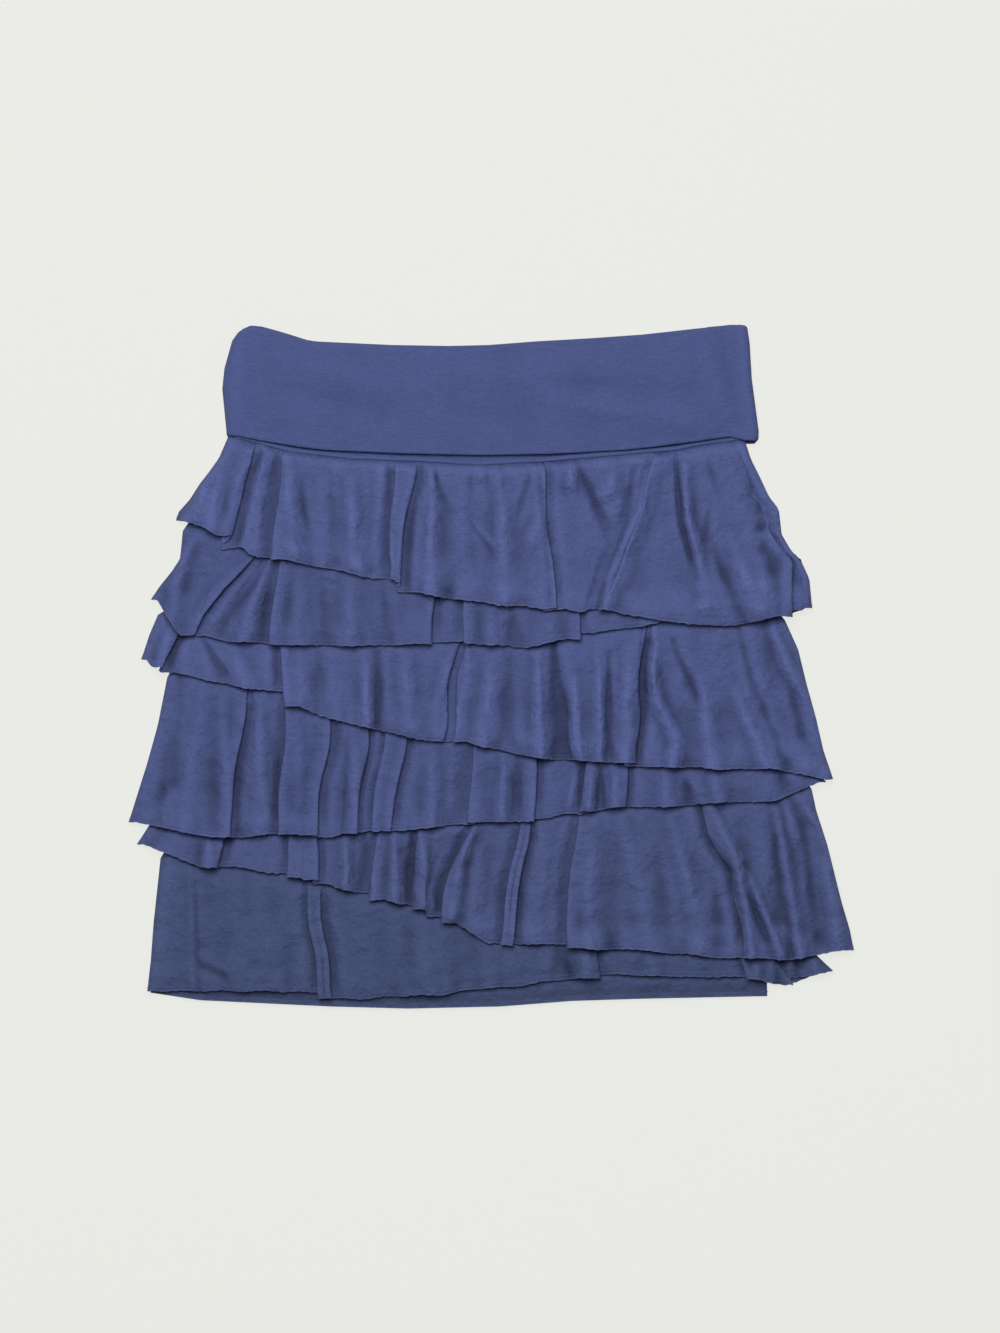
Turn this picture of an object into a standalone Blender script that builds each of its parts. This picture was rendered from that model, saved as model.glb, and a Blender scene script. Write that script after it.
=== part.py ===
"""Tiered ruffle mini skirt with a fold-over waistband, laid flat on its back.

X runs across the skirt, Y from the hem up to the waist, and Z up from the surface it lies on.
The sizes below are in millimetres; they are turned into metres when a mesh is made.

The base is a tube of two flat panels. The waistband is a second tube that is sewn to its top,
stands up and folds over outwards. Six tiers, each a ring of a front and a back piece, are sewn
to the base along their upper edges, one under the hem of the next. Their fronts fall in knife
pleats, which are real folds of three layers, and their backs lie flat under the base.
"""

import bisect
from dataclasses import dataclass

import bmesh
import bpy

MM = 0.001
COLLECTION = "tiered_ruffle_skirt"

# Cloth and the stack of layers
WALL = 1.0            # thickness of the cloth
GAP = 0.3             # distance between pieces that meet
CLEARANCE = 0.8       # distance between tiers that pass over each other
LAYER = 1.5           # from one layer of a pleat to the next, centre to centre
BASE_BACK_Z = 5.2     # centre of the base's back panel
BASE_FRONT_Z = BASE_BACK_Z + WALL + GAP
FRONT_SEAM_Z = BASE_FRONT_Z + WALL + GAP
BACK_SEAM_Z = BASE_BACK_Z - WALL - GAP
REST_Z = WALL / 2     # centre of cloth that lies on the surface
BACK_STEP = WALL + 0.6   # from one back to the next where they lie on each other
BACK_REACH = 0.8      # share of the ramp by which a back stays up past the hem under it

# How a pleat opens below the line where its tier is sewn on
OPENING = 18.0        # distance in which the layers come apart
TURN_START = 16.0     # distance at which the edge starts to fold over
TURN_LENGTH = 20.0    # distance in which it folds over fully
SPREAD = 1.0          # distance between the lines of a pleat where it is gathered
RAMP = 10.0           # distance in which a tier climbs over the next one
SIDE_ROUND = 1.2      # how far a side edge stands out past the front and the back
BACK_DROP = 12.0      # distance in which a back comes down from its seam
BACK_JOIN = 22.0      # from the right side edge to the side seam, which lies on the back
JOIN_LEVEL = 1.5      # height in layers of the side seam that lies on the front
BACK_LINES = 6        # lines of cloth between the side seams on the back

RIGHT = "right"       # the upper layer ends in an edge that faces right
LEFT = "left"         # the upper layer ends in an edge that faces left


@dataclass(frozen=True)
class Line:
    """A line of cloth from the seam to the hem: its X at both ends and its Y at the hem."""
    top: float
    hem: float
    hem_y: float


@dataclass(frozen=True)
class Crest:
    """A soft line of a front: its X at both ends, its Y at the hem and its height in layers."""
    top: float
    hem: float
    hem_y: float
    level: float


@dataclass(frozen=True)
class Edge:
    """A pleat's edge: its X at both ends, the hem's Y over and under it, and its underlap."""
    faces: str
    top: float
    hem: float
    over_y: float
    under_y: float
    lap: float


@dataclass(frozen=True)
class Tier:
    """A ring of cloth: the seam that holds it, its side edges, its side seam and its folds."""
    name: str
    seam: tuple
    left: Line
    right: Line
    join: Line
    folds: tuple
    colour: tuple


@dataclass(frozen=True)
class Thread:
    """One column of a tier's mesh, from the seam to the hem."""
    top: float
    hem: float
    hem_y: float
    face: str
    level: float = 0.0
    spread: float = 0.0
    tuck: float = 0.0


TIERS = (
    Tier(
        name="tier_1",
        seam=((-188.5, 154), (-94, 149), (-7.5, 145.5), (89.5, 151), (182.5, 155.5)),
        left=Line(-188.5, -225.5, 106),
        right=Line(182.5, 231, 42.5),
        join=Line(-178, -205.5, 101),
        folds=(
            Edge(RIGHT, -167.5, -185.5, 94.5, 85, 8),
            Crest(-158, -170.5, 78.5, 0.2),
            Edge(LEFT, -149.5, -158, 76.5, 78, 7),
            Crest(-112, -115.5, 70, 1.2),
            Edge(LEFT, -70, -73, 62, 62.5, 2),
            Edge(RIGHT, -53, -65, 60.5, 53.5, 2),
            Crest(-38.5, -42, 50.5, 1.3),
            Crest(7, 4.5, 44, 1.0),
            Edge(RIGHT, 38.5, 48.5, 42, 40.5, 10),
            Crest(71.5, 64.5, 39, 0.1),
            Edge(LEFT, 115, 77.5, 39.5, 40.5, 7),
            Crest(133.5, 143.5, 29.5, 0.3),
            Crest(149.5, 176, 29.5, 1.4),
            Edge(RIGHT, 172.5, 216.5, 36, 40.5, 4.5),
        ),
        colour=(0.075, 0.096, 0.250),
    ),
    Tier(
        name="tier_2",
        seam=((-203.5, 122.5), (-158, 98.5), (-65, 78), (48.5, 62), (120, 60), (197, 74)),
        left=Line(-204, -243, 47),
        right=Line(195.5, 223, 44),
        join=Line(-190.5, -230, 26),
        folds=(
            Edge(RIGHT, -168, -211.5, 22.5, 21.5, 4.5),
            Crest(-160, -184, 17.5, 0.2),
            Edge(LEFT, -151, -159, 16, 16.5, 7),
            Crest(-101, -105, 14.5, 1.0),
            Edge(RIGHT, -37.5, -41.5, 16, 17.5, 8),
            Edge(LEFT, -19.5, -19, 16.5, 17.5, 6),
            Crest(21, 21, 13, 1.6),
            Edge(RIGHT, 66.5, 65, 19.5, 24, 10),
            Crest(115, 115, 30, 0.3),
        ),
        colour=(0.073, 0.093, 0.243),
    ),
    Tier(
        name="tier_3",
        seam=((-222, 47), (-159, 36), (28.5, 31), (122, 45), (195.5, 51)),
        left=Line(-223, -251, 5),
        right=Line(194, 245, -81.5),
        join=Line(-218.5, -241.5, 2),
        folds=(
            Edge(RIGHT, -213, -234.5, -0.5, -4.5, 2.5),
            Crest(-189, -198.5, -11, 0.8),
            Edge(LEFT, -152.5, -148, -29, -18, 8.5),
            Crest(-115.5, -115.5, -37.5, 1.5),
            Crest(-81, -81.5, -46, 0.5),
            Edge(RIGHT, -27.5, -35.5, -53.5, -54, 6),
            Edge(LEFT, -15, -27.5, -54.5, -54, 6),
            Crest(35.5, 33.5, -65.5, 1.8),
            Crest(46.5, 51.5, -67, 0.0),
            Crest(58.5, 64.5, -67.5, 1.6),
            Edge(RIGHT, 115, 106, -69, -71.5, 8.5),
            Crest(128, 132, -72.5, 1.3),
            Crest(176, 201, -73.5, 1.0),
        ),
        colour=(0.071, 0.091, 0.237),
    ),
    Tier(
        name="tier_4",
        seam=((-219, 12), (-65, -29.5), (107.5, -50), (198.5, -42)),
        left=Line(-220, -260.5, -111.5),
        right=Line(197.5, 241.5, -83),
        join=Line(-197, -215, -121.5),
        folds=(
            Edge(RIGHT, -169, -186, -122.5, -123, 7),
            Edge(LEFT, -146.5, -153, -120, -119.5, 7),
            Edge(RIGHT, -111, -124, -121, -122.5, 6),
            Edge(RIGHT, -85.5, -95, -119.5, -119, 5),
            Edge(LEFT, -75, -86, -118, -118, 4.5),
            Edge(RIGHT, -57, -71, -117.5, -117.5, 4.5),
            Crest(-42, -43.5, -116, 0.9),
            Edge(LEFT, -11, -17, -111.5, -113, 7),
            Edge(RIGHT, 35.5, 31.5, -111, -109.5, 7),
            Edge(LEFT, 73, 62.5, -103, -105.5, 4.5),
            Edge(RIGHT, 103.5, 96, -101, -101.5, 6),
            Crest(131.5, 131.5, -99.5, 1.2),
            Crest(165, 205, -96, 1.0),
        ),
        colour=(0.065, 0.084, 0.222),
    ),
    Tier(
        name="tier_5",
        seam=((-223.5, -95), (-115.5, -104.5), (50, -91.5), (200, -65.5)),
        left=Line(-223.5, -254, -128),
        right=Line(200, 260.5, -204.5),
        join=Line(-200.5, -207, -143.5),
        folds=(
            Edge(RIGHT, -186, -195.5, -144, -143.5, 5),
            Edge(LEFT, -146, -146, -151, -148.5, 6),
            Edge(RIGHT, -125, -122, -152.5, -156, 4.5),
            Crest(-112, -108.5, -159, 1.0),
            Edge(LEFT, -81, -87, -167, -162, 6),
            Edge(LEFT, -53.5, -56.5, -173.5, -170.5, 4.5),
            Edge(LEFT, -4.5, -36.5, -183.5, -179.5, 7),
            Edge(LEFT, 22.5, 6, -199.5, -198.5, 2),
            Edge(RIGHT, 31.5, 15.5, -199.5, -198.5, 2),
            Edge(LEFT, 65, 53.5, -201.5, -199.5, 7),
            Crest(94.5, 100.5, -203, 1.4),
            Edge(LEFT, 143.5, 180.5, -209.5, -209, 6),
            Crest(171, 215.5, -209.5, 1.5),
        ),
        colour=(0.060, 0.079, 0.208),
    ),
    Tier(
        name="tier_6",
        seam=((-229.5, -126.5), (-115.5, -144.5), (57, -189.5), (201, -192)),
        left=Line(-229.5, -246.5, -233.5),
        right=Line(200.5, 246, -219),
        join=Line(-214, -210, -227.5),
        folds=(
            Crest(-180.5, -177, -232.5, 0.5),
            Edge(LEFT, -135, -123.5, -237.5, -234, 2.5),
            Edge(RIGHT, -124, -113.5, -237.5, -238.5, 2.5),
            Crest(-65, -59.5, -237, 0.8),
            Crest(7, 7, -230.5, 1.0),
            Edge(RIGHT, 71.5, 79.5, -223, -221, 8),
            Crest(122, 129, -222.5, 0.6),
            Edge(LEFT, 172.5, 183, -224, -223, 3),
            Crest(183, 200, -226, 1.2),
        ),
        colour=(0.054, 0.074, 0.192),
    ),
)

# Waistband: its outline, and how far its inner and outer layers are from its middle
FRONT_TOP = ((-183, 240), (-173, 243.5), (-151.5, 238.5), (-128.5, 232), (-65, 229),
             (-22, 226), (17.5, 232), (64.5, 229.5), (107.5, 236), (140, 237),
             (165, 243.5), (182, 245))
BACK_TOP = ((-183, 241), (-128.5, 233.5), (-7.5, 230.5), (21, 233.5), (115, 238.5),
            (182, 245.5))
FRONT_LOW = ((-182.5, 165.5), (-164.5, 162), (-137, 158.5), (-65, 152.5), (21, 153.5),
             (136.5, 162), (172.5, 165.5), (183, 162.5))
BACK_LOW = ((-189.5, 162.5), (0, 158.5), (192, 160.5))
BAND_LEFT = ((155, -189.5), (169, -189.5), (199.5, -192.5), (214, -191), (232, -186),
             (241, -183))
BAND_RIGHT = ((155, 192), (169, 192.5), (206.5, 187.5), (232, 186), (245.5, 184))
BAND_MIDDLE_Z = (BASE_BACK_Z + BASE_FRONT_Z) / 2
BAND_INNER = BASE_FRONT_Z - BAND_MIDDLE_Z
BAND_OUTER = BAND_MIDDLE_Z - REST_Z
BAND_INSET = 4.5      # how far the inner layer stays inside the outer one at the sides
BAND_FOLD = 1.5       # how far the layers stop below the crest of the top fold
BAND_FACE_LINES = 12  # spaces between the lines of cloth across each face

# Base: its hem and its side edges, which are given as (Y, X)
BASE_HEM = ((-245, -234.5), (-209, -240), (-115, -244.5), (-59.5, -246), (7, -244.5),
            (58.5, -240.5), (105.5, -239), (199, -237))
BASE_LEFT = ((-234.5, -244.5), (-117.5, -223.5), (-96, -217), (12, -212), (48, -208.5),
             (120, -196), (155, -184.5))
BASE_RIGHT = ((-237, 199), (-67, 193), (48, 187), (155, 178))
BASE_LINES = (12, 7)  # spaces between the lines of cloth across and along a panel
BASE_COLOUR = (0.050, 0.068, 0.178)
BAND_COLOUR = (0.077, 0.098, 0.252)
ROUGHNESS = 0.85


def limit(value):
    """Keep a value between 0 and 1."""
    return min(1.0, max(0.0, value))


def along(points, place):
    """Read a line of straight stretches through points at a place on its first axis."""
    index = bisect.bisect_left([point[0] for point in points], place)
    index = min(max(index, 1), len(points) - 1)
    (x0, y0), (x1, y1) = points[index - 1], points[index]
    return y0 + (y1 - y0) * limit((place - x0) / (x1 - x0))


def hem_line(tier):
    """The hem's outline of a tier, from its left side edge to its right one."""
    ends = [(fold.hem, fold.over_y if isinstance(fold, Edge) else fold.hem_y)
            for fold in tier.folds]
    return [(tier.left.hem, tier.left.hem_y), *ends, (tier.right.hem, tier.right.hem_y)]


def front_height(number, x, y):
    """Centre height of a front's lowest layer, which climbs over the tiers sewn on below it."""
    height = FRONT_SEAM_Z
    for lower in TIERS[number + 1:]:
        depth = along(lower.seam, x) - y
        height += (WALL + CLEARANCE) * limit((depth + RAMP) / (RAMP - 1))
        height += 2 * LAYER * limit(depth / OPENING)
    return height


def back_height(number, x, y):
    """Centre height of a back, which rests on the surface or on the tiers above its seam."""
    height = REST_Z
    for upper in TIERS[:number]:
        height += BACK_STEP * limit((y - along(hem_line(upper), x)) / RAMP + 1 + BACK_REACH)
    depth = along(TIERS[number].seam, x) - y
    return height + (BACK_SEAM_Z - height) * limit(1 - depth / BACK_DROP)


def row_shares(number, thread):
    """Where the rows of a tier's mesh lie on a thread, as shares of its length.

    The rows follow the opening of the pleats, then the climb over the next tier's seam.
    """
    tier = TIERS[number]
    length = along(tier.seam, thread.top) - thread.hem_y
    opened = OPENING
    if number > 0:
        covered = along(tier.seam, thread.hem) - along(hem_line(TIERS[number - 1]), thread.hem)
        opened = max(opened, covered + 2)
    opened = min(opened, 0.5 * length)
    if number + 1 < len(TIERS):
        over = along(TIERS[number + 1].seam, thread.hem) - thread.hem_y
    else:
        over = 0.3 * length
    crossing = max(length - over, opened + 0.2 * length)
    climb = max(crossing - RAMP, opened + 0.1 * length)
    crossing = min(crossing, 0.9 * length)
    return [place / length for place in (0, opened / 2, opened, climb, crossing, length)]


def thread_points(number, thread):
    """The points of a thread from the seam to the hem, in millimetres."""
    seam_y = along(TIERS[number].seam, thread.top) - GAP
    points = []
    for share in row_shares(number, thread):
        y = seam_y + (thread.hem_y - seam_y) * share
        depth = seam_y - y
        turned = limit((depth - TURN_START) / TURN_LENGTH)
        x = thread.top + (thread.hem - thread.top) * share
        x += thread.spread * (1 - turned) + thread.tuck * turned
        front = front_height(number, x, y) + thread.level * LAYER * limit(depth / OPENING)
        back = back_height(number, x, y)
        z = {"front": front, "back": back, "side": (front + back) / 2}[thread.face]
        points.append((x, y, z))
    return points


def edge_threads(edge):
    """The six threads around a pleat's edge, from left to right along the cloth.

    The upper layer runs to the edge, the cloth turns back under it for the lap, and turns
    again to run on as the lowest layer.
    """
    sign = 1 if edge.faces == RIGHT else -1
    between = (edge.over_y + edge.under_y) / 2
    lap = sign * edge.lap
    places = [
        (-lap - sign * 0.5, edge.over_y, 2), (0, edge.over_y, 2), (0, edge.over_y, 1),
        (-lap, between, 1), (-lap, edge.under_y, 0), (sign * 1.5, edge.under_y, 0),
    ]
    places = places[::sign]
    middle = (len(places) - 1) / 2
    return [
        Thread(edge.top, edge.hem, hem_y, "front", level, (index - middle) * SPREAD, tuck)
        for index, (tuck, hem_y, level) in enumerate(places)
    ]


def moved(line, distance, face, level=0.0):
    """A thread beside a line, moved in X."""
    return Thread(line.top + distance, line.hem + distance, line.hem_y, face, level)


def tier_threads(tier):
    """The threads of a tier's front piece and of its back piece.

    The front piece runs from the left side seam over the front and around the right side.
    The back piece runs on from there under the base and around the left side.
    """
    outline = hem_line(tier)
    front = [moved(tier.join, GAP / 2, "front", JOIN_LEVEL)]
    for fold in tier.folds:
        if isinstance(fold, Edge):
            front += edge_threads(fold)
        else:
            front.append(Thread(fold.top, fold.hem, fold.hem_y, "front", fold.level))
    front += [moved(tier.right, -SIDE_ROUND, "front"), moved(tier.right, 0, "side"),
              moved(tier.right, -SIDE_ROUND, "back")]

    ends = (Line(tier.right.top - BACK_JOIN, tier.right.hem - BACK_JOIN, tier.right.hem_y),
            Line(tier.left.top + BACK_JOIN, tier.left.hem + BACK_JOIN, tier.left.hem_y))
    back = []
    for index in range(BACK_LINES):
        share = index / (BACK_LINES - 1)
        top = ends[0].top + (ends[1].top - ends[0].top) * share
        hem = ends[0].hem + (ends[1].hem - ends[0].hem) * share
        back.append(Thread(top, hem, along(outline, hem), "back"))
    join = back[0]
    front.append(moved(join, GAP / 2, "back"))
    back[0] = moved(join, -GAP / 2, "back")
    back += [moved(tier.left, SIDE_ROUND, "back"), moved(tier.left, 0, "side"),
             moved(tier.left, SIDE_ROUND, "front"),
             moved(tier.join, -GAP / 2, "front", JOIN_LEVEL)]
    return front, back


def cloth_material(name, colour):
    """A matt cloth material of one colour."""
    material = bpy.data.materials.new(name)
    material.use_nodes = True
    shader = material.node_tree.nodes["Principled BSDF"]
    shader.inputs["Base Color"].default_value = (*colour, 1.0)
    shader.inputs["Roughness"].default_value = ROUGHNESS
    shader.inputs["Metallic"].default_value = 0.0
    return material


def cloth_sheet(name, columns, colour, collection):
    """Make a wall of cloth from a grid whose columns pass through the given points.

    A grid is laid over the columns and rows, each of its corners is moved to its point, and
    Solidify gives it its thickness. A ring's first column comes again as its last one.
    """
    across, down = len(columns) - 1, len(columns[0]) - 1
    mesh = bpy.data.meshes.new(name)
    shape = bmesh.new()
    bmesh.ops.create_grid(shape, x_segments=across, y_segments=down, size=0.5)
    for vertex in shape.verts:
        column = round((vertex.co.x + 0.5) * across)
        row = round((vertex.co.y + 0.5) * down)
        vertex.co = [value * MM for value in columns[column][row]]
    bmesh.ops.remove_doubles(shape, verts=shape.verts, dist=GAP * MM / 100)
    shape.to_mesh(mesh)
    shape.free()
    mesh.materials.append(cloth_material(f"{name}_cloth", colour))

    piece = bpy.data.objects.new(name, mesh)
    collection.objects.link(piece)
    wall = piece.modifiers.new("Wall", "SOLIDIFY")
    wall.thickness = WALL * MM
    wall.offset = 0.0
    wall.use_even_offset = True
    mesh.shade_smooth()
    return piece


def base_columns(height):
    """The columns of a base panel, between its side edges and from the seam to the hem."""
    across, down = BASE_LINES
    top_line, hem_ends = TIERS[0].seam, (BASE_HEM[0][0], BASE_HEM[-1][0])
    columns = []
    for column in range(across + 1):
        share = column / across
        top_y = along(top_line, BASE_LEFT[-1][1] + (BASE_RIGHT[-1][1] - BASE_LEFT[-1][1]) * share)
        hem_y = along(BASE_HEM, hem_ends[0] + (hem_ends[1] - hem_ends[0]) * share)
        points = []
        for row in range(down + 1):
            y = top_y + (hem_y - top_y) * row / down
            left, right = along(BASE_LEFT, y), along(BASE_RIGHT, y)
            points.append((left + (right - left) * share, y, height))
        columns.append(points)
    return columns


def band_column(share, face):
    """A column of the waistband: up the inner layer, over the top fold and down outside."""
    sign = {"front": 1, "side": 0, "back": -1}[face]
    width = (BAND_LEFT[0][1], BAND_RIGHT[0][1])
    flat_x = width[0] + (width[1] - width[0]) * share
    top_line, low_line = (FRONT_TOP, FRONT_LOW) if sign > 0 else (BACK_TOP, BACK_LOW)
    top, low = along(top_line, flat_x), along(low_line, flat_x)
    seam_x = flat_x + BAND_INSET * (1 - 2 * share)
    seam = along(TIERS[0].seam, seam_x) + 1.5 * GAP
    layers = (
        (seam, BAND_INNER, BAND_INSET), ((seam + top) / 2, BAND_INNER, BAND_INSET),
        (top - BAND_FOLD, BAND_INNER, BAND_INSET),
        (top, (BAND_INNER + BAND_OUTER) / 2, BAND_INSET / 2),
        (top - BAND_FOLD, BAND_OUTER, 0), (top + (low - top) * 0.35, BAND_OUTER, 0),
        (top + (low - top) * 0.7, BAND_OUTER, 0), (low, BAND_OUTER, 0),
    )
    points = []
    for y, height, inset in layers:
        stand = inset + (0 if face == "side" else SIDE_ROUND)
        left, right = along(BAND_LEFT, y) + stand, along(BAND_RIGHT, y) - stand
        points.append((left + (right - left) * share, y, BAND_MIDDLE_Z + sign * height))
    return points


def band_columns():
    """The columns of the waistband, once around it and back to the first one."""
    shares = [index / BAND_FACE_LINES for index in range(BAND_FACE_LINES + 1)]
    columns = [band_column(share, "front") for share in shares]
    columns.append(band_column(1.0, "side"))
    columns += [band_column(share, "back") for share in reversed(shares)]
    columns.append(band_column(0.0, "side"))
    return columns + columns[:1]


def main():
    """Clear the scene and build the skirt."""
    for item in list(bpy.data.objects):
        bpy.data.objects.remove(item, do_unlink=True)
    collection = bpy.data.collections.new(COLLECTION)
    bpy.context.scene.collection.children.link(collection)

    cloth_sheet("waistband", band_columns(), BAND_COLOUR, collection)
    cloth_sheet("base_front", base_columns(BASE_FRONT_Z), BASE_COLOUR, collection)
    cloth_sheet("base_back", base_columns(BASE_BACK_Z), BASE_COLOUR, collection)
    for number, tier in enumerate(TIERS):
        for side, threads in zip(("front", "back"), tier_threads(tier)):
            columns = [thread_points(number, thread) for thread in threads]
            cloth_sheet(f"{tier.name}_{side}", columns, tier.colour, collection)


main()
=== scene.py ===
"""Looks of a tiered ruffle mini skirt with a fold-over waistband, laid flat on its back.

X runs across the skirt, Y from the hem up to the waist, and Z up from the surface it lies on.
The skirt's own sizes are in millimetres, and a mesh is turned into metres when it is made.

The base is two fine panels. Six ruffles, each one closed ring of jersey that runs around the
front and the back, are laid over it from the lowest to the highest, so that each one rests on
what is already there. The waistband is a ring that stands up, folds over and turns under.
"""

import logging
import math
from dataclasses import dataclass
from enum import Enum

import bmesh
import bpy
import numpy as np
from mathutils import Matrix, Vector


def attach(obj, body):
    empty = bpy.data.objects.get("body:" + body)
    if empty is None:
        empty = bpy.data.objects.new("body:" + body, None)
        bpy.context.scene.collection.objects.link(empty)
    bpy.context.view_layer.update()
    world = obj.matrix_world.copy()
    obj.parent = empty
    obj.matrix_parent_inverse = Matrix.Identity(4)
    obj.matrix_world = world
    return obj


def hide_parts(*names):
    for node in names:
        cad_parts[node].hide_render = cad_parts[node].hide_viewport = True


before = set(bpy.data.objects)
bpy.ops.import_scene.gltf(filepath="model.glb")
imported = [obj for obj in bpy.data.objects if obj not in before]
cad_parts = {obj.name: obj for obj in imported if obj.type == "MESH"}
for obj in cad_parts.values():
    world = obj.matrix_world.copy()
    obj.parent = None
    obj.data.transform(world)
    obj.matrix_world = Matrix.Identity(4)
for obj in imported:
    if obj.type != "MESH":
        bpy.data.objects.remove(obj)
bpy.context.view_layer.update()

logging.basicConfig(level=logging.INFO, format="%(message)s")
LOG = logging.getLogger("skirt")

MM = 0.001
BODY = "root"

# Dyes of the cloths and of their raw hems
TIER_DYE = (0.083, 0.107, 0.268)
TIER_RIM = (0.15, 0.18, 0.37)
# The base's dye is darker: partly its own tone, partly painted shade where the light falls off
# towards the hem.
BASE_DYE_AND_FALLOFF = (0.060, 0.081, 0.180)
BASE_RIM = (0.11, 0.14, 0.28)
BAND_DYE = (0.071, 0.094, 0.245)
BAND_RIM = (0.13, 0.16, 0.34)
THREAD_DYE = (0.10, 0.125, 0.29)

# Cloth and the stack of layers
CLOTH = 0.6           # thickness of the jersey
REST = 0.8            # centre of cloth that lies on the surface
LAYER = 1.0           # from one layer of a pleat to the next
CLEAR = 0.75          # from the top of what lies below to the centre of a ruffle
BASE_BACK = 5.2       # centre of the base's back panel
BASE_FRONT = 6.5      # centre of the base's front panel
BACK_SEAM = 3.7       # centre of a ruffle's back where it is sewn on
BACK_STEP = 1.6       # from one back to the next where they lie on each other
BACK_RAMP = 10.0      # distance in which a back rises onto the next one
BACK_REACH = 0.8      # share of that distance by which it stays up past the hem under it
BACK_DROP = 12.0      # distance in which a back comes down from its seam
BESIDE = 3.4          # height of the layers that lie beside the base
DEPTH = 3.0           # how much deeper than its stated height a crease is laid

# Rows of a ruffle, as distances from its hem
HEM_ROWS = (5.2, 4.0, 3.1, 2.4, 1.7, 1.0, 0.4, 0.0)
STITCH_ROW = 2        # the one of them that the hem's stitches follow
EDGE_ROW = 5          # the one of them that the overlock threads cross
THREAD_LIFT = CLOTH / 2 + 0.05    # from the middle of the cloth to the middle of a thread

# Columns of a ruffle
SIDE_INSETS = (4.5, 2.2, 0.9, 0.25)   # lines of cloth beside a side edge
FRONT_PITCH = 1.5     # distance between the columns of a front
BACK_PITCH = 5.0      # distance between the columns of a back
BACK_SHARES = (0.06, 0.94, 12)        # first and last line of a back, and how many
EASE = 2              # columns over which a ruffle's shape is evened out
LIFT_EASE = 3         # the same, for the lift of its hem
FLAT_LEVEL = 0.6      # level of plain cloth, in layers

# How the height of a cloth in its folds is told from its surroundings, as the mask for the shade
# and highlight painted into its colour
FOLD_REACHES = (14, 5)    # columns over which wide and fine folds are compared
FOLD_SPANS = (2.6, 1.3)   # height above or below the surroundings that counts in full
FOLD_ROWS = 3             # rows over which the surroundings are evened out
FOLD_SHARE = 0.7


class Faces(Enum):
    """The way that the free edge of a pleat's upper layer looks."""

    RIGHT = 1
    LEFT = -1


@dataclass(frozen=True)
class Edge:
    """A knife pleat: the X of its edge at the seam and the hem, and how it is laid."""

    faces: Faces
    top: float
    hem: float
    over: float               # Y of the hem of its upper layer
    under: float              # Y of the hem of its lowest layer
    lap: float                # how far the cloth turns back
    bend: float = 0.0         # how far its middle stands to the right of a straight line
    rise: float = 1.6         # extra height of the edge at the hem
    groove: float = 1.5       # clear width beside it
    bank: float = 0.9         # level of the cloth past that groove
    via: tuple = ()           # points that it runs through in place of a straight line
    start: float = 0.0        # how far from the seam it begins to fold over


@dataclass(frozen=True)
class Crest:
    """A soft line of a front between pleats: its X, its hem's Y and its level."""

    top: float
    hem: float
    over: float
    level: float


@dataclass(frozen=True)
class Crease:
    """A soft ridge along a route, or a trough where its height is negative.

    It starts narrow and low and grows. It fades again where it ends well above the hem.
    """

    height: float
    width: float
    route: tuple
    born: tuple = (0.3, 0.45)         # its height at the start, and where it is grown
    widths: tuple = (0.52, 0.43)      # its width at the start, and what is added by the end
    fade: tuple = (0.85, 0.5)         # how much of its height it loses, and from where
    hem_zone: tuple = (8.0, 14.0)     # where it keeps its height, and then starts to lose it

    def at(self, x: np.ndarray, y: np.ndarray, to_hem: np.ndarray | float) -> np.ndarray:
        """Read its height at points.

        Args:
            x: The points' X.
            y: The points' Y.
            to_hem: The points' distances from the hem.

        Returns:
            The height at each point, in millimetres.
        """
        distance, share = route_distance(self.route, x, y)
        width = self.width * (self.widths[0] + self.widths[1] * share)
        grown = self.born[0] + (1 - self.born[0]) * smooth(share / self.born[1])
        clear = smooth((to_hem - self.hem_zone[0]) / self.hem_zone[1])
        ending = smooth((share - self.fade[1]) / (1 - self.fade[1]))
        grown = grown * (1 - self.fade[0] * clear * ending)
        return DEPTH * self.height * grown * np.exp(-0.5 * (distance / width) ** 2)


@dataclass(frozen=True)
class Line:
    """One line of cloth down a ruffle, from its seam to its hem."""

    top: float                # X at the seam
    hem: float                # X at the hem
    hem_y: float
    front: bool = True
    level: float = FLAT_LEVEL         # height of its hem, in layers
    lift: float = 0.0         # how far its hem stands up past that
    full: float = 1.0         # share of the cloth's fullness that its hem has
    tuck: float = 0.0         # how far the pleat takes it to the right
    spread: float = 0.0       # how far it is to the right before the pleat folds over
    bend: float = 0.0         # how far its middle stands to the right of a straight line
    via: tuple = ()           # points that it runs through in place of a straight line
    start: float = 0.0        # how far from the seam its pleat begins to fold over
    side: tuple = ()          # its X at shares of its length, where it follows a side edge


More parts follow.
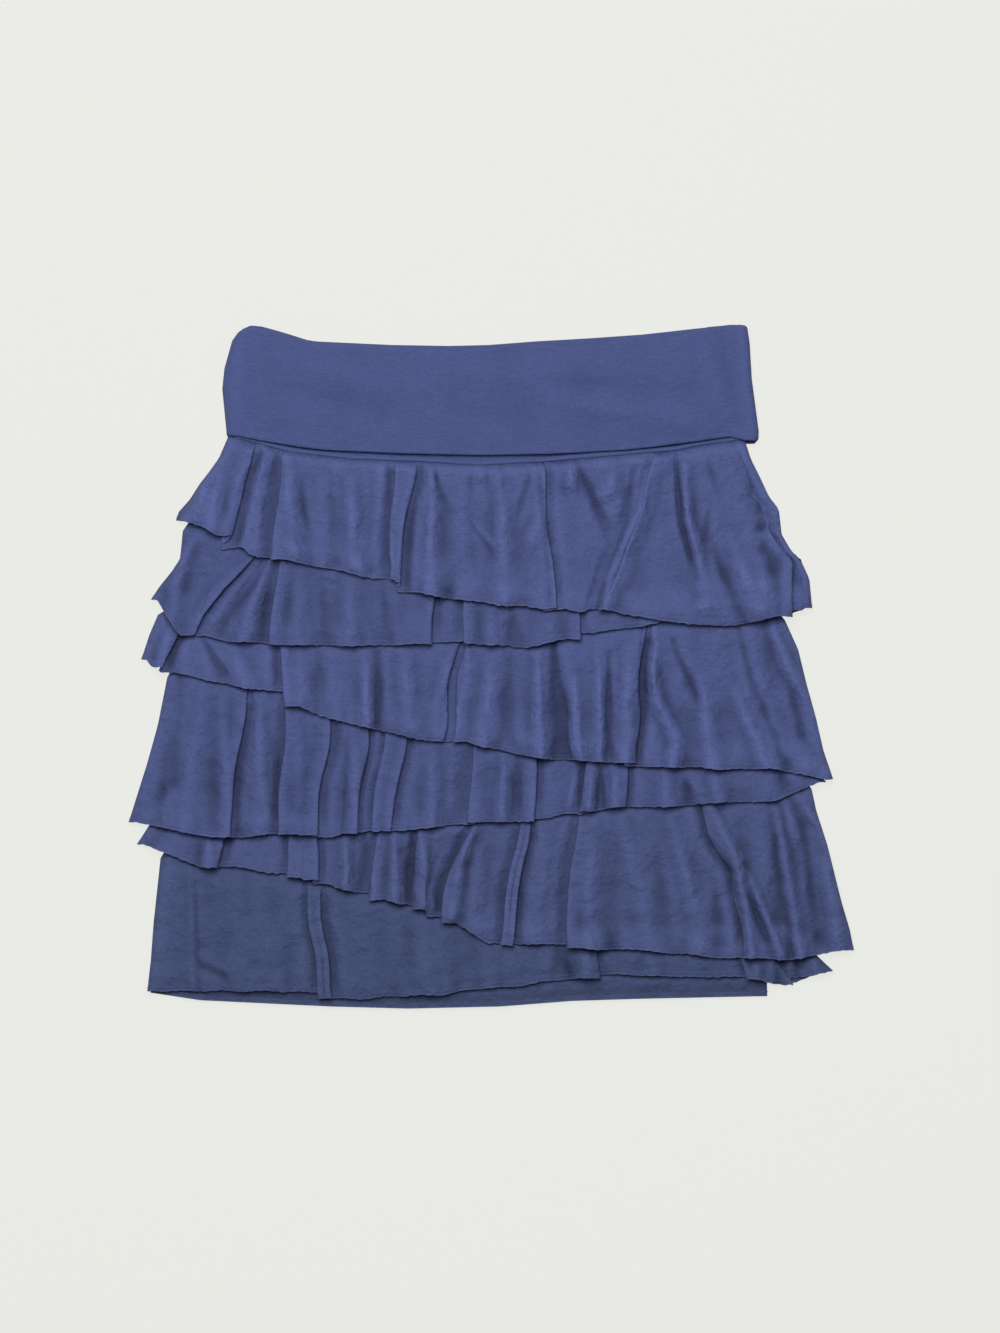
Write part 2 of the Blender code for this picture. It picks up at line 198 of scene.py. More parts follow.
@dataclass(frozen=True)
class PleatSection:
    """The section of a knife pleat, which all of them share."""

    shoulder: float = 11.0    # how far from the edge the cloth starts to rise
    shoulder_share: float = 0.5       # the most of the clear width that this may take
    brow: float = 4.5         # how far from the edge the cloth is almost at its highest
    brow_share: float = 0.22
    groove_share: float = 0.3
    shore: float = 7.0        # how far past the groove the cloth beside it lies as usual
    shore_share: float = 0.48
    broad: float = 24.0       # clear width from which a pleat has a flat middle
    roomy: float = 18.0       # clear width from which the cloth beside it is full
    spread: float = 0.55      # distance between its lines where it isn't folded yet

    def lines(self, edge: Edge, before: float, after: float) -> list:
        """Lay out the lines of cloth around a pleat's edge, from left to right.

        Args:
            edge: The pleat.
            before: The clear width on the left of its edge.
            after: The clear width on the right of its edge.

        Returns:
            The lines.
        """
        sign = edge.faces.value
        behind, ahead = (before, after) if sign > 0 else (after, before)
        shoulder = min(self.shoulder, self.shoulder_share * behind)
        brow = min(self.brow, self.brow_share * behind)
        groove = min(edge.groove, self.groove_share * ahead)
        shore = min(groove + self.shore, self.shore_share * ahead)
        full = min(1.0, ahead / self.roomy)
        broad = min(1.0, behind / self.broad)
        middle = (edge.over + edge.under) / 2
        # Each row holds a line's distance from the edge, the Y of its hem, its level, its
        # share of the edge's rise, and its share of the cloth's fullness.
        rows = (
            (-shoulder, edge.over, 2.1 - 0.5 * broad, 0.9 - 0.8 * broad, 1.0),
            (-brow, edge.over, 2.1, 0.7, 1.1),
            (-0.9, edge.over, 2.2, 1.0, 1.1),
            (0.0, edge.over, 1.85, 0.95, 1.05),
            (-0.8, edge.over - 0.3, 1.4, 0.6, 0.9),
            (-0.5 * edge.lap, middle, 1.1, 0.2, 0.7),
            (-edge.lap, middle, 0.9, 0.0, 0.6),
            (-edge.lap - 0.6, middle, 0.45, 0.0, 0.45),
            (-edge.lap, edge.under, 0.0, 0.0, 0.3),
            (-0.4 * edge.lap, edge.under, 0.0, 0.0, 0.25),
            (groove, edge.under, 0.0, 0.0, 0.25),
            (shore, edge.under, edge.bank, 0.0, full),
        )[::sign]
        centre = (len(rows) - 1) / 2
        return [
            Line(edge.top, edge.hem, hem_y, level=level, lift=lift * edge.rise, full=fullness,
                 tuck=sign * tuck, spread=(index - centre) * self.spread, bend=edge.bend,
                 via=edge.via, start=edge.start)
            for index, (tuck, hem_y, level, lift, fullness) in enumerate(rows)
        ]


PLEAT = PleatSection()


def smooth(value: np.ndarray) -> np.ndarray:
    """Ease a value from 0 to 1."""
    held = np.clip(value, 0.0, 1.0)
    return held * held * (3.0 - 2.0 * held)


def along(points: tuple, place: np.ndarray) -> np.ndarray:
    """Read a line through points, in order of their first values, at places on that axis."""
    table = np.array(points, float)
    return np.interp(place, table[:, 0], table[:, 1])


def route_distance(route: tuple, x: np.ndarray, y: np.ndarray) -> tuple:
    """Work out where points are beside a route of straight stretches.

    Args:
        route: The route's points.
        x: The points' X.
        y: The points' Y.

    Returns:
        The distance of each point from the route, and how far along the route it is, as a
        share of the route's length.
    """
    nearest = np.full(x.shape, np.inf)
    place = np.zeros(x.shape)
    passed = 0.0
    for (x0, y0), (x1, y1) in zip(route, route[1:]):
        run, climb = x1 - x0, y1 - y0
        stretch = math.hypot(run, climb)
        share = np.clip(((x - x0) * run + (y - y0) * climb) / stretch ** 2, 0, 1)
        distance = np.hypot(x - x0 - run * share, y - y0 - climb * share)
        closer = distance < nearest
        nearest = np.where(closer, distance, nearest)
        place = np.where(closer, passed + stretch * share, place)
        passed += stretch
    return nearest, place / passed


def relief(creases: tuple, x: np.ndarray, y: np.ndarray,
           to_hem: np.ndarray | float = 0.0) -> np.ndarray:
    """Add up the heights of creases at points.

    Args:
        creases: The creases.
        x: The points' X.
        y: The points' Y.
        to_hem: The points' distances from the hem.

    Returns:
        The height at each point, in millimetres.
    """
    height = np.zeros(x.shape)
    for crease in creases:
        height += crease.at(x, y, to_hem)
    return height


def blurred(values: np.ndarray, reach: int, axis: int, wrap: bool = False) -> np.ndarray:
    """Blur an array along one axis with a bell-shaped window.

    Args:
        values: The array.
        reach: How many cells the window reaches to each side; it is two deviations.
        axis: The axis to blur along.
        wrap: Whether the axis is closed into a ring.

    Returns:
        The blurred array.
    """
    places = np.arange(-reach, reach + 1)
    weights = np.exp(-0.5 * (places / (reach / 2)) ** 2)
    weights /= weights.sum()
    margins = [(0, 0)] * values.ndim
    margins[axis] = (reach, reach)
    padded = np.pad(values, margins, mode="wrap" if wrap else "edge")
    size = values.shape[axis]
    total = np.zeros(values.shape)
    for place, weight in zip(places, weights):
        total += weight * np.take(padded, range(reach + place, reach + place + size), axis=axis)
    return total


@dataclass(frozen=True)
class Swell:
    """Gentle unevenness of cloth: a few long waves that are drawn from a fixed seed."""

    seed: int
    height: float
    shortest: float           # the shortest wave
    longest: float            # the longest wave
    second_share: float = 1.0         # how much of the second distance counts
    count: int = 9
    turn: float = 0.5         # how far the waves' directions differ, in radians

    def at(self, first: np.ndarray, second: np.ndarray, number: int = 0) -> np.ndarray:
        """Read the height of the waves at points.

        Args:
            first: The points' distances across the waves.
            second: The points' distances along the waves.
            number: The number of the cloth, which is added to the seed.

        Returns:
            The height at each point, in millimetres.
        """
        draw = np.random.default_rng(self.seed + number)
        lengths = draw.uniform(self.shortest, self.longest, self.count)
        turns = draw.uniform(-self.turn, self.turn, self.count)
        starts = draw.uniform(0, 2 * math.pi, self.count)
        across = 2 * math.pi * np.cos(turns) / lengths
        down = 2 * math.pi * np.sin(turns) / lengths
        second = second * self.second_share
        total = np.zeros(np.broadcast(first, second).shape)
        for wave in zip(across, down, starts):
            total += np.sin(wave[0] * first + wave[1] * second + wave[2])
        return self.height / math.sqrt(self.count / 2) * total


# Unevenness of a ruffle
HEM_WAVE = Swell(10, 0.4, 24, 80, 0.1)
HEM_RIPPLE = Swell(60, 0.16, 4.5, 9, 0.1)
SWAY = Swell(20, 0.7, 45, 95, 0.6)
SOFT_SWELL = Swell(30, 0.24, 26, 70, 0.5)
SMALL_SWELL = Swell(40, 0.16, 13, 26, 0.5)
FLUTTER = Swell(50, 3.0, 40, 90, 0.0)
BACK_RIPPLE = Swell(90, 0.55, 16, 40, 0.35)

# Unevenness of the base and the waistband
BASE_SWELL = Swell(70, 0.10, 30, 90)
BAND_SWELL = Swell(80, 0.35, 40, 110)


class Ground:
    """The height of everything laid so far, on a square grid."""

    STEP = 1.5            # width of a cell
    REACH = 4             # cells by which a cloth bridges what it lies on
    HALF = (306.0, 282.0)     # half the grid's size across and down

    def __init__(self) -> None:
        """Start with the layers that lie beside the base."""
        shape = [int(2 * half / self.STEP) + 1 for half in self.HALF]
        self.height = np.full(shape, BESIDE)
        self.eased = self.height

    def lay(self, points: np.ndarray) -> None:
        """Add a cloth's upper side, and ease the grid for the next cloth.

        Args:
            points: The points of the middle of the cloth.
        """
        column = np.rint((points[..., 0] + self.HALF[0]) / self.STEP).astype(int)
        row = np.rint((points[..., 1] + self.HALF[1]) / self.STEP).astype(int)
        top = points[..., 2] + CLOTH / 2
        np.maximum.at(self.height, (column.ravel(), row.ravel()), top.ravel())
        eased = self.height
        for axis in (0, 1):
            widest = eased
            for shift in range(-self.REACH, self.REACH + 1):
                widest = np.maximum(widest, np.roll(eased, shift, axis=axis))
            eased = widest
        for axis in (0, 1):
            eased = blurred(eased, self.REACH, axis)
        self.eased = eased

    def under(self, x: np.ndarray, y: np.ndarray) -> np.ndarray:
        """Read the eased height below points, between the grid's cells.

        Args:
            x: The points' X.
            y: The points' Y.

        Returns:
            The height below each point.
        """
        across = (x + self.HALF[0]) / self.STEP
        down = (y + self.HALF[1]) / self.STEP
        column, row = np.floor(across).astype(int), np.floor(down).astype(int)
        right, up = across - column, down - row
        grid = self.eased
        low = grid[column, row] * (1 - right) + grid[column + 1, row] * right
        high = grid[column, row + 1] * (1 - right) + grid[column + 1, row + 1] * right
        return low * (1 - up) + high * up


def put_node(tree: bpy.types.NodeTree, kind: str, settings: dict,
             sockets: dict) -> bpy.types.Node:
    """Add a node to a tree.

    Args:
        tree: The tree.
        kind: The node's type.
        settings: The node's own settings, which are set first.
        sockets: The values of its inputs, or the sockets to link them to, by name or index.

    Returns:
        The node.
    """
    node = tree.nodes.new(kind)
    for name, value in settings.items():
        setattr(node, name, value)
    for name, value in sockets.items():
        if isinstance(value, bpy.types.NodeSocket):
            tree.links.new(value, node.inputs[name])
        else:
            node.inputs[name].default_value = value
    return node


class Wire:
    """A shader socket that can stand in a Python expression."""

    def __init__(self, bench: "Bench", socket: bpy.types.NodeSocket) -> None:
        """Hold an output socket and the tree that it belongs to."""
        self.bench = bench
        self.socket = socket

    def __add__(self, other: "Wire | float") -> "Wire":
        """Add."""
        return self.bench.sum_up("ADD", self, other)

    def __radd__(self, other: float) -> "Wire":
        """Add, from the right."""
        return self.bench.sum_up("ADD", other, self)

    def __sub__(self, other: "Wire | float") -> "Wire":
        """Subtract."""
        return self.bench.sum_up("SUBTRACT", self, other)

    def __rsub__(self, other: float) -> "Wire":
        """Subtract from a number."""
        return self.bench.sum_up("SUBTRACT", other, self)

    def __mul__(self, other: "Wire | float") -> "Wire":
        """Multiply."""
        return self.bench.sum_up("MULTIPLY", self, other)

    def __rmul__(self, other: float) -> "Wire":
        """Multiply, from the right."""
        return self.bench.sum_up("MULTIPLY", other, self)

    def __truediv__(self, other: "Wire | float") -> "Wire":
        """Divide."""
        return self.bench.sum_up("DIVIDE", self, other)


class Bench:
    """A material's node tree and the one way to add a node to it."""

    def __init__(self, name: str) -> None:
        """Start a material that holds only a Principled shader and its output.

        Args:
            name: The material's name.
        """
        self.material = bpy.data.materials.new(name)
        self.material.use_nodes = True
        self.tree = self.material.node_tree
        self.shader = self.tree.nodes["Principled BSDF"]

    def add(self, kind: str, settings: dict, sockets: dict, output: int | str = 0) -> Wire:
        """Add a node.

        Args:
            kind: The node's type.
            settings: The node's own settings, which are set first.
            sockets: The values or wires of its inputs, by name or index.
            output: Which of its outputs to hand back.

        Returns:
            That output as a wire.
        """
        plain = {name: value.socket if isinstance(value, Wire) else value
                 for name, value in sockets.items()}
        return Wire(self, put_node(self.tree, kind, settings, plain).outputs[output])

    def dress(self, constants: dict, wires: dict) -> bpy.types.Material:
        """Set the shader's sockets.

        Args:
            constants: The values that are the same all over, by socket.
            wires: The wires of what varies, by socket.

        Returns:
            The finished material.
        """
        for name, value in constants.items():
            self.shader.inputs[name].default_value = value
        for name, wire in wires.items():
            self.tree.links.new(wire.socket, self.shader.inputs[name])
        return self.material

    def sum_up(self, operation: str, first: "Wire | float", second: "Wire | float") -> Wire:
        """Add a Math node for an operation on two values."""
        return self.add("ShaderNodeMath", {"operation": operation}, {0: first, 1: second})

    def shape(self, operation: str, value: Wire) -> Wire:
        """Add a Math node for an operation on one value."""
        return self.add("ShaderNodeMath", {"operation": operation}, {0: value})

    def blend(self, share: Wire, first: "Wire | tuple", second: "Wire | tuple") -> Wire:
        """Mix two colours."""
        return self.add("ShaderNodeMix", {"data_type": "RGBA"},
                        {0: share, 6: first, 7: second}, 2)

    def noise(self, size: float, detail: float) -> Wire:
        """Add noise on the object's coordinates.

        Args:
            size: The size of its patches, in metres.
            detail: How many finer layers it has.

        Returns:
            A wire from 0 to 1.
        """
        place = self.add("ShaderNodeTexCoord", {}, {}, "Object")
        return self.add("ShaderNodeTexNoise", {},
                        {"Vector": place, "Scale": 1 / size, "Detail": detail}, "Fac")

    def attribute(self, name: str) -> Wire:
        """Read one of the piece's own number attributes."""
        return self.add("ShaderNodeAttribute", {"attribute_name": name}, {}, "Fac")


@dataclass(frozen=True)
class Jersey:
    """Finely knitted jersey: slate blue, with a paler raw hem, painted shade in its folds and
    fine wrinkles and a painted highlight on its ridges.

    Sizes are in metres.
    """

    name: str
    colour: tuple
    rim: tuple
    depth: float = 0.58       # painted shade: how much darker the bottom of a fold is made
    ridge_highlight: float = 0.24       # painted highlight: how much paler the top of a ridge is made
    shade_mix: tuple = (0.5, 0.12, 0.1, 0.39)  # shares of the folds' painted shade, the cloud, the wrinkles' painted shade, and the rest
    rim_share: float = 0.5    # how much of the rim's colour its outermost row has
    crumple: float = 0.0055   # height of the fine wrinkles
    heather: float = 0.45     # how much the yarn's colour varies
    slub: tuple = (0.009, 0.0011)     # length and width of the thicker stretches of yarn
    cloud_size: float = 0.055
    crumple_size: float = 0.014
    fleck_size: float = 0.0018
    wale: float = 0.0009      # width of a column of stitches
    course: float = 0.0007    # height of a row of stitches
    loop_lean: float = 0.6    # how far a loop's legs lean, as a share of a row
    loop_share: float = 0.5
    yarn_share: float = 2.0   # how much the yarn's unevenness counts beside the loops
    knit: tuple = (0.5, 0.0003)       # strength and height of the loops
    roughness: tuple = (0.74, 0.2)    # its least, and how much flecks add

    def tint(self, bench: Bench, slub: Wire, fleck: Wire, crumple: Wire) -> Wire:
        """Colour the cloth by its hem and its yarn, and paint shade into its folds and wrinkles
        and a highlight onto its ridges.

        Args:
            bench: The material's tree.
            slub: The thicker stretches of yarn.
            fleck: The unevenness of single loops.
            crumple: The fine wrinkles, whose hollows are also painted darker.

        Returns:
            The colour.
        """
        by_fold_shade, by_cloud, by_wrinkle_shade, rest = self.shade_mix
        cloud = bench.noise(self.cloud_size, 2.0)
        # Painted shade and highlight: the fold mask and the fine wrinkles darken the colour in
        # troughs and pale it on ridges, and the cloud adds random tone.
        fold = bench.attribute("fold") * by_fold_shade + cloud * by_cloud + crumple * by_wrinkle_shade + rest
        mottle = 1.0 + (slub - 0.5) * self.heather + (fleck - 0.5) * self.heather
        # Painted shade colour for troughs, the plain dye between, and painted highlight colour
        # for ridges.
        shade_colour = tuple((1 - self.depth) * value for value in self.colour)
        pale = tuple((1 + self.ridge_highlight) * value for value in self.colour)
        trough = bench.blend(fold * 2.0, (*shade_colour, 1.0), (*self.colour, 1.0))
        cloth = bench.blend(fold * 2.0 - 1.0, trough, (*pale, 1.0))
        edged = bench.blend(bench.attribute("rim") * self.rim_share, cloth, (*self.rim, 1.0))
        return bench.add("ShaderNodeVectorMath", {"operation": "SCALE"},
                         {0: edged, "Scale": mottle})

    def material(self) -> bpy.types.Material:
        """Make the material.

        Returns:
            The finished material.
        """
        bench = Bench(self.name)
        place = bench.add("ShaderNodeUVMap", {"uv_map": "cloth"}, {}, "UV")
        threads = bench.add("ShaderNodeVectorMath", {"operation": "MULTIPLY"},
                            {0: place, 1: (1 / self.slub[0], 1 / self.slub[1], 1.0)})
        slub = bench.add("ShaderNodeTexNoise", {},
                         {"Vector": threads, "Scale": 1.0, "Detail": 3.0}, "Fac")
        fleck = bench.noise(self.fleck_size, 2.0)
        crumple = bench.noise(self.crumple_size, 4.0)

        split = put_node(bench.tree, "ShaderNodeSeparateXYZ", {}, {0: place.socket}).outputs
        across = Wire(bench, split["X"]) / self.wale
        down = Wire(bench, split["Y"]) / self.course
        lean = bench.shape("ABSOLUTE", bench.shape("FRACT", across) - 0.5) * 2.0
        loop = bench.shape("SINE", (down + lean * self.loop_lean) * (2 * math.pi))
        loops = loop * (1.0 - lean * lean) * self.loop_share
        yarn = loops + fleck * self.yarn_share + slub * self.yarn_share
        creased = bench.add("ShaderNodeBump", {}, {"Strength": 1.0, "Distance": self.crumple,
                                                   "Height": crumple}, "Normal")
        bump = bench.add("ShaderNodeBump", {},
                         {"Strength": self.knit[0], "Distance": self.knit[1],
                          "Height": yarn, "Normal": creased}, "Normal")
        least, by_fleck = self.roughness
        return bench.dress(
            {"Sheen Weight": 0.03, "Sheen Roughness": 0.5, "Specular IOR Level": 0.2},
            {"Base Color": self.tint(bench, slub, fleck, crumple), "Normal": bump,
             "Roughness": least + fleck * by_fleck})


@dataclass(frozen=True)
class Thread:
    """Matt sewing thread of one dye, a little uneven along its length."""

    name: str
    colour: tuple
    darkest: float = 0.75     # share of its colour that its dullest stretches have
    fleck_size: float = 0.0012

    def material(self) -> bpy.types.Material:
        """Make the material.

        Returns:
            The finished material.
        """
        bench = Bench(self.name)
        darker = tuple(self.darkest * value for value in self.colour)
        fleck = bench.noise(self.fleck_size, 1.0)
        dye = bench.blend(fleck, (*darker, 1.0), (*self.colour, 1.0))
        return bench.dress({"Roughness": 0.7}, {"Base Color": dye})


@dataclass(frozen=True)
class PalePaper:
    """The plain pale surface that the skirt lies on."""

    colour: tuple = (0.07, 0.0708, 0.068)
    glow: tuple = (0.752, 0.7615, 0.723)

    def material(self) -> bpy.types.Material:
        """Make the material.

        Returns:
            The finished material.
        """
        return Bench("pale_floor").dress(
            {"Base Color": (*self.colour, 1.0), "Roughness": 1.0, "Specular IOR Level": 0.0,
             "Emission Color": (*self.glow, 1.0), "Emission Strength": 1.0}, {})


def fold_shade_mask(points: np.ndarray, ring: bool) -> np.ndarray:
    """Measure how high or low in its folds each point of a cloth is, as the mask for painted
    shade and highlight.

    Args:
        points: The cloth's grid.
        ring: Whether the last column meets the first one.

    Returns:
        A number from -1, at the bottom of a fold, to 1, at the top of a ridge.
    """
    height = points[..., 2]
    depth = np.zeros(height.shape)
    for reach, span in zip(FOLD_REACHES, FOLD_SPANS):
        around = blurred(blurred(height, reach, 0, ring), FOLD_ROWS, 1)
        depth += (height - around) / span
    return np.clip(FOLD_SHARE * depth, -1, 1)


def cloth_uv(points: np.ndarray, here: np.ndarray, row: np.ndarray) -> np.ndarray:
    """Unroll a cloth's faces, so that its knit keeps its size.

    Args:
        points: The cloth's grid.
        here: The first column of each face.
        row: The first row of each face.

    Returns:
        The UV of each face's four corners, in metres.
    """
    columns, rows = points.shape[:2]
    across = np.zeros((columns + 1, rows))
    closed = np.concatenate([points, points[:1]])
    across[1:] = np.cumsum(np.linalg.norm(np.diff(closed, axis=0), axis=2), axis=0)
    across = across.mean(axis=1)
    down = np.zeros((columns, rows))
    down[:, 1:] = np.cumsum(np.linalg.norm(np.diff(points, axis=1), axis=2), axis=1)
    beside = (here + 1) % columns
    near = np.broadcast_to(across[here], (len(here), rows - 1))
    far = np.broadcast_to(across[here + 1], (len(here), rows - 1))
    corner_u = np.stack([near, near, far, far], axis=-1)
    corner_v = np.stack([down[here, row], down[here, row + 1],
                         down[beside, row + 1], down[beside, row]], axis=-1)
    return np.stack([corner_u, -corner_v], axis=-1) * MM


def cloth_piece(name: str, points: np.ndarray, rim: np.ndarray, ring: bool,
                material: bpy.types.Material) -> bpy.types.Object:
    """Make a wall of jersey from a grid of points.

    The grid's first axis runs around or across the cloth and its second one down it. Seen from
    outside, the columns run to the right where the rows run down.

    Args:
        name: The piece's name.
        points: The grid, columns by rows by three, in millimetres.
        rim: How pale each point is made, from 0 to 1.
        ring: Whether the last column meets the first one.
        material: The cloth's material.

    Returns:
        The piece, with a Solidify modifier.
    """
    columns, rows = points.shape[:2]
    here = np.arange(columns if ring else columns - 1)[:, None]
    row = np.arange(rows - 1)[None, :]
    first, second = here * rows + row, (here + 1) % columns * rows + row
    corners = np.stack([first, first + 1, second + 1, second], axis=-1).reshape(-1, 4)
    mesh = bpy.data.meshes.new(name)
    mesh.from_pydata((points.reshape(-1, 3) * MM).tolist(), [], corners.tolist())
    layer = mesh.uv_layers.new(name="cloth")
    layer.data.foreach_set("uv", cloth_uv(points, here, row).ravel())
    # The fold attribute is the mask for painted shade in troughs and a painted highlight on
    # ridges.
    for title, values in (("rim", rim), ("fold", fold_shade_mask(points, ring))):
        store = mesh.attributes.new(title, "FLOAT", "POINT")
        store.data.foreach_set("value", values.ravel())
    mesh.materials.append(material)
    mesh.shade_smooth()

    piece = bpy.data.objects.new(name, mesh)
    bpy.context.scene.collection.objects.link(piece)
    wall = piece.modifiers.new("Wall", "SOLIDIFY")
    wall.thickness = CLOTH * MM
    wall.offset = 0.0
    return piece


def hem_rim(points: np.ndarray, tones: tuple) -> np.ndarray:
    """Make the last rows of a cloth paler.

    Args:
        points: The cloth's grid.
        tones: The tone of each of its last rows.

    Returns:
        How pale each point is made, from 0 to 1.
    """
    rim = np.zeros(points.shape[:2])
    rim[:, -len(tones):] = tones
    return rim


def outward(points: np.ndarray, ring: bool) -> np.ndarray:
    """Work out the outward direction at each point of a cloth's grid.

    Args:
        points: The cloth's grid.
        ring: Whether the last column meets the first one.

    Returns:
        The directions, each of length one.
    """
    if ring:
        side = np.roll(points, -1, axis=0) - np.roll(points, 1, axis=0)
    else:
        side = np.gradient(points, axis=0)
    down = np.gradient(points, axis=1)
    normal = np.cross(down, side)
    return normal / np.maximum(np.linalg.norm(normal, axis=2, keepdims=True), 1e-9)


@dataclass(frozen=True)
class Seam:
    """A line of stitches that Geometry Nodes lay along a row of a cloth's points."""

    pitch: float = 2.4        # from one stitch to the next
    length: float = 1.7       # length of a stitch
    radius: float = 0.16      # half the thread's thickness
    slope: float = 0.0        # how far a stitch leans up the cloth for its run along it
    facing: float = 0.35      # least share of up or down in the direction of cloth it follows
    fewest: int = 4           # the fewest points of a stretch that is stitched
    sides: int = 5            # sides of the thread

    def lines(self, points: np.ndarray, ring: bool, row: int) -> list:
        """Find the stretches of a row of cloth that face up or down.

        Args:
            points: The cloth's grid.
            ring: Whether the last column meets the first one.
            row: The row that the stitches follow.

        Returns:
            Pairs of points and of directions up the cloth, one pair for each stretch.
        """
        normals = outward(points, ring)
        places = points[:, row] + normals[:, row] * THREAD_LIFT
        ups = points[:, row - 1] - points[:, row]
        ups /= np.linalg.norm(ups, axis=1, keepdims=True)
        facing = np.abs(normals[:, row, 2]) > self.facing
        found, start = [], None
        for index in range(len(places) + 1):
            held = index < len(places) and facing[index]
            if held and start is None:
                start = index
            elif not held and start is not None:
                if index - start >= self.fewest:
                    found.append((places[start:index], ups[start:index]))
                start = None
        return found

    def sew(self, name: str, lines: list, material: bpy.types.Material) -> bpy.types.Object:
        """Lay the stitches.

        Args:
            name: The piece's name.
            lines: Pairs of points and of directions up the cloth, one pair for each line.
            material: The thread's material.

        Returns:
            The stitches as one plain mesh.
        """
        mesh = bpy.data.meshes.new(name)
        places = np.concatenate([points for points, _ in lines]) * MM
        lifts = np.concatenate([lift for _, lift in lines])
        starts = np.cumsum([0] + [len(points) for points, _ in lines])
        steps = [(index, index + 1) for start, end in zip(starts, starts[1:])
                 for index in range(start, end - 1)]
        mesh.from_pydata(places.tolist(), steps, [])
        store = mesh.attributes.new("up_cloth", "FLOAT_VECTOR", "POINT")
        store.data.foreach_set("vector", lifts.ravel())
        guide = bpy.data.objects.new(name, mesh)
        bpy.context.scene.collection.objects.link(guide)

        tree = self.tree(name)
        maker = guide.modifiers.new("Stitches", "NODES")
        maker.node_group = tree
        values = {"Pitch": self.pitch * MM, "Length": self.length * MM,
                  "Radius": self.radius * MM, "Slope": self.slope, "Material": material}
        for item in tree.interface.items_tree:
            if item.in_out == "INPUT" and item.name in values:
                maker[item.identifier] = values[item.name]
        graph = bpy.context.evaluated_depsgraph_get()
        plain = bpy.data.meshes.new_from_object(guide.evaluated_get(graph))
        guide.modifiers.remove(maker)
        guide.data = plain
        return guide

    def tree(self, name: str) -> bpy.types.NodeTree:
        """Build the node tree that lays thread along a line.

        Args:
            name: The name of the stitches.

        Returns:
            The tree, with named inputs for the sizes and the thread.
        """
        tree = bpy.data.node_groups.new(f"{name}_tree", "GeometryNodeTree")
        face = tree.interface
        face.new_socket("Geometry", in_out="INPUT", socket_type="NodeSocketGeometry")
        for title in ("Pitch", "Length", "Radius", "Slope"):
            face.new_socket(title, in_out="INPUT", socket_type="NodeSocketFloat")
        face.new_socket("Material", in_out="INPUT", socket_type="NodeSocketMaterial")
        face.new_socket("Geometry", in_out="OUTPUT", socket_type="NodeSocketGeometry")
        given = put_node(tree, "NodeGroupInput", {}, {}).outputs
        curve = put_node(tree, "GeometryNodeMeshToCurve", {}, {"Mesh": given["Geometry"]})
        spaced = put_node(tree, "GeometryNodeResampleCurve", {"mode": "LENGTH"},
                          {"Curve": curve.outputs["Curve"], "Length": given["Pitch"]})
        thread = put_node(tree, "GeometryNodeMeshCylinder", {},
                          {"Vertices": self.sides, "Radius": given["Radius"],
                           "Depth": given["Length"]})
        lift = put_node(tree, "GeometryNodeInputNamedAttribute", {"data_type": "FLOAT_VECTOR"},
                        {"Name": "up_cloth"})
        leaning = put_node(tree, "ShaderNodeVectorMath", {"operation": "SCALE"},
                           {0: lift.outputs["Attribute"], "Scale": given["Slope"]})
        tangent = put_node(tree, "GeometryNodeInputTangent", {}, {})
        way = put_node(tree, "ShaderNodeVectorMath", {"operation": "ADD"},
                       {0: tangent.outputs["Tangent"], 1: leaning.outputs["Vector"]})
        turn = put_node(tree, "FunctionNodeAlignRotationToVector", {"axis": "Z"},
                        {"Vector": way.outputs["Vector"]})
        copies = put_node(tree, "GeometryNodeInstanceOnPoints", {},
                          {"Points": spaced.outputs["Curve"], "Instance": thread.outputs["Mesh"],
                           "Rotation": turn.outputs["Rotation"]})
        real = put_node(tree, "GeometryNodeRealizeInstances", {},
                        {"Geometry": copies.outputs["Instances"]})
        dyed = put_node(tree, "GeometryNodeSetMaterial", {},
                        {"Geometry": real.outputs["Geometry"], "Material": given["Material"]})
        put_node(tree, "NodeGroupOutput", {}, {"Geometry": dyed.outputs["Geometry"]})
        return tree


HEM_SEAM = Seam()
OVERLOCK = Seam(pitch=1.9, length=2.6, radius=0.13, slope=1.6)


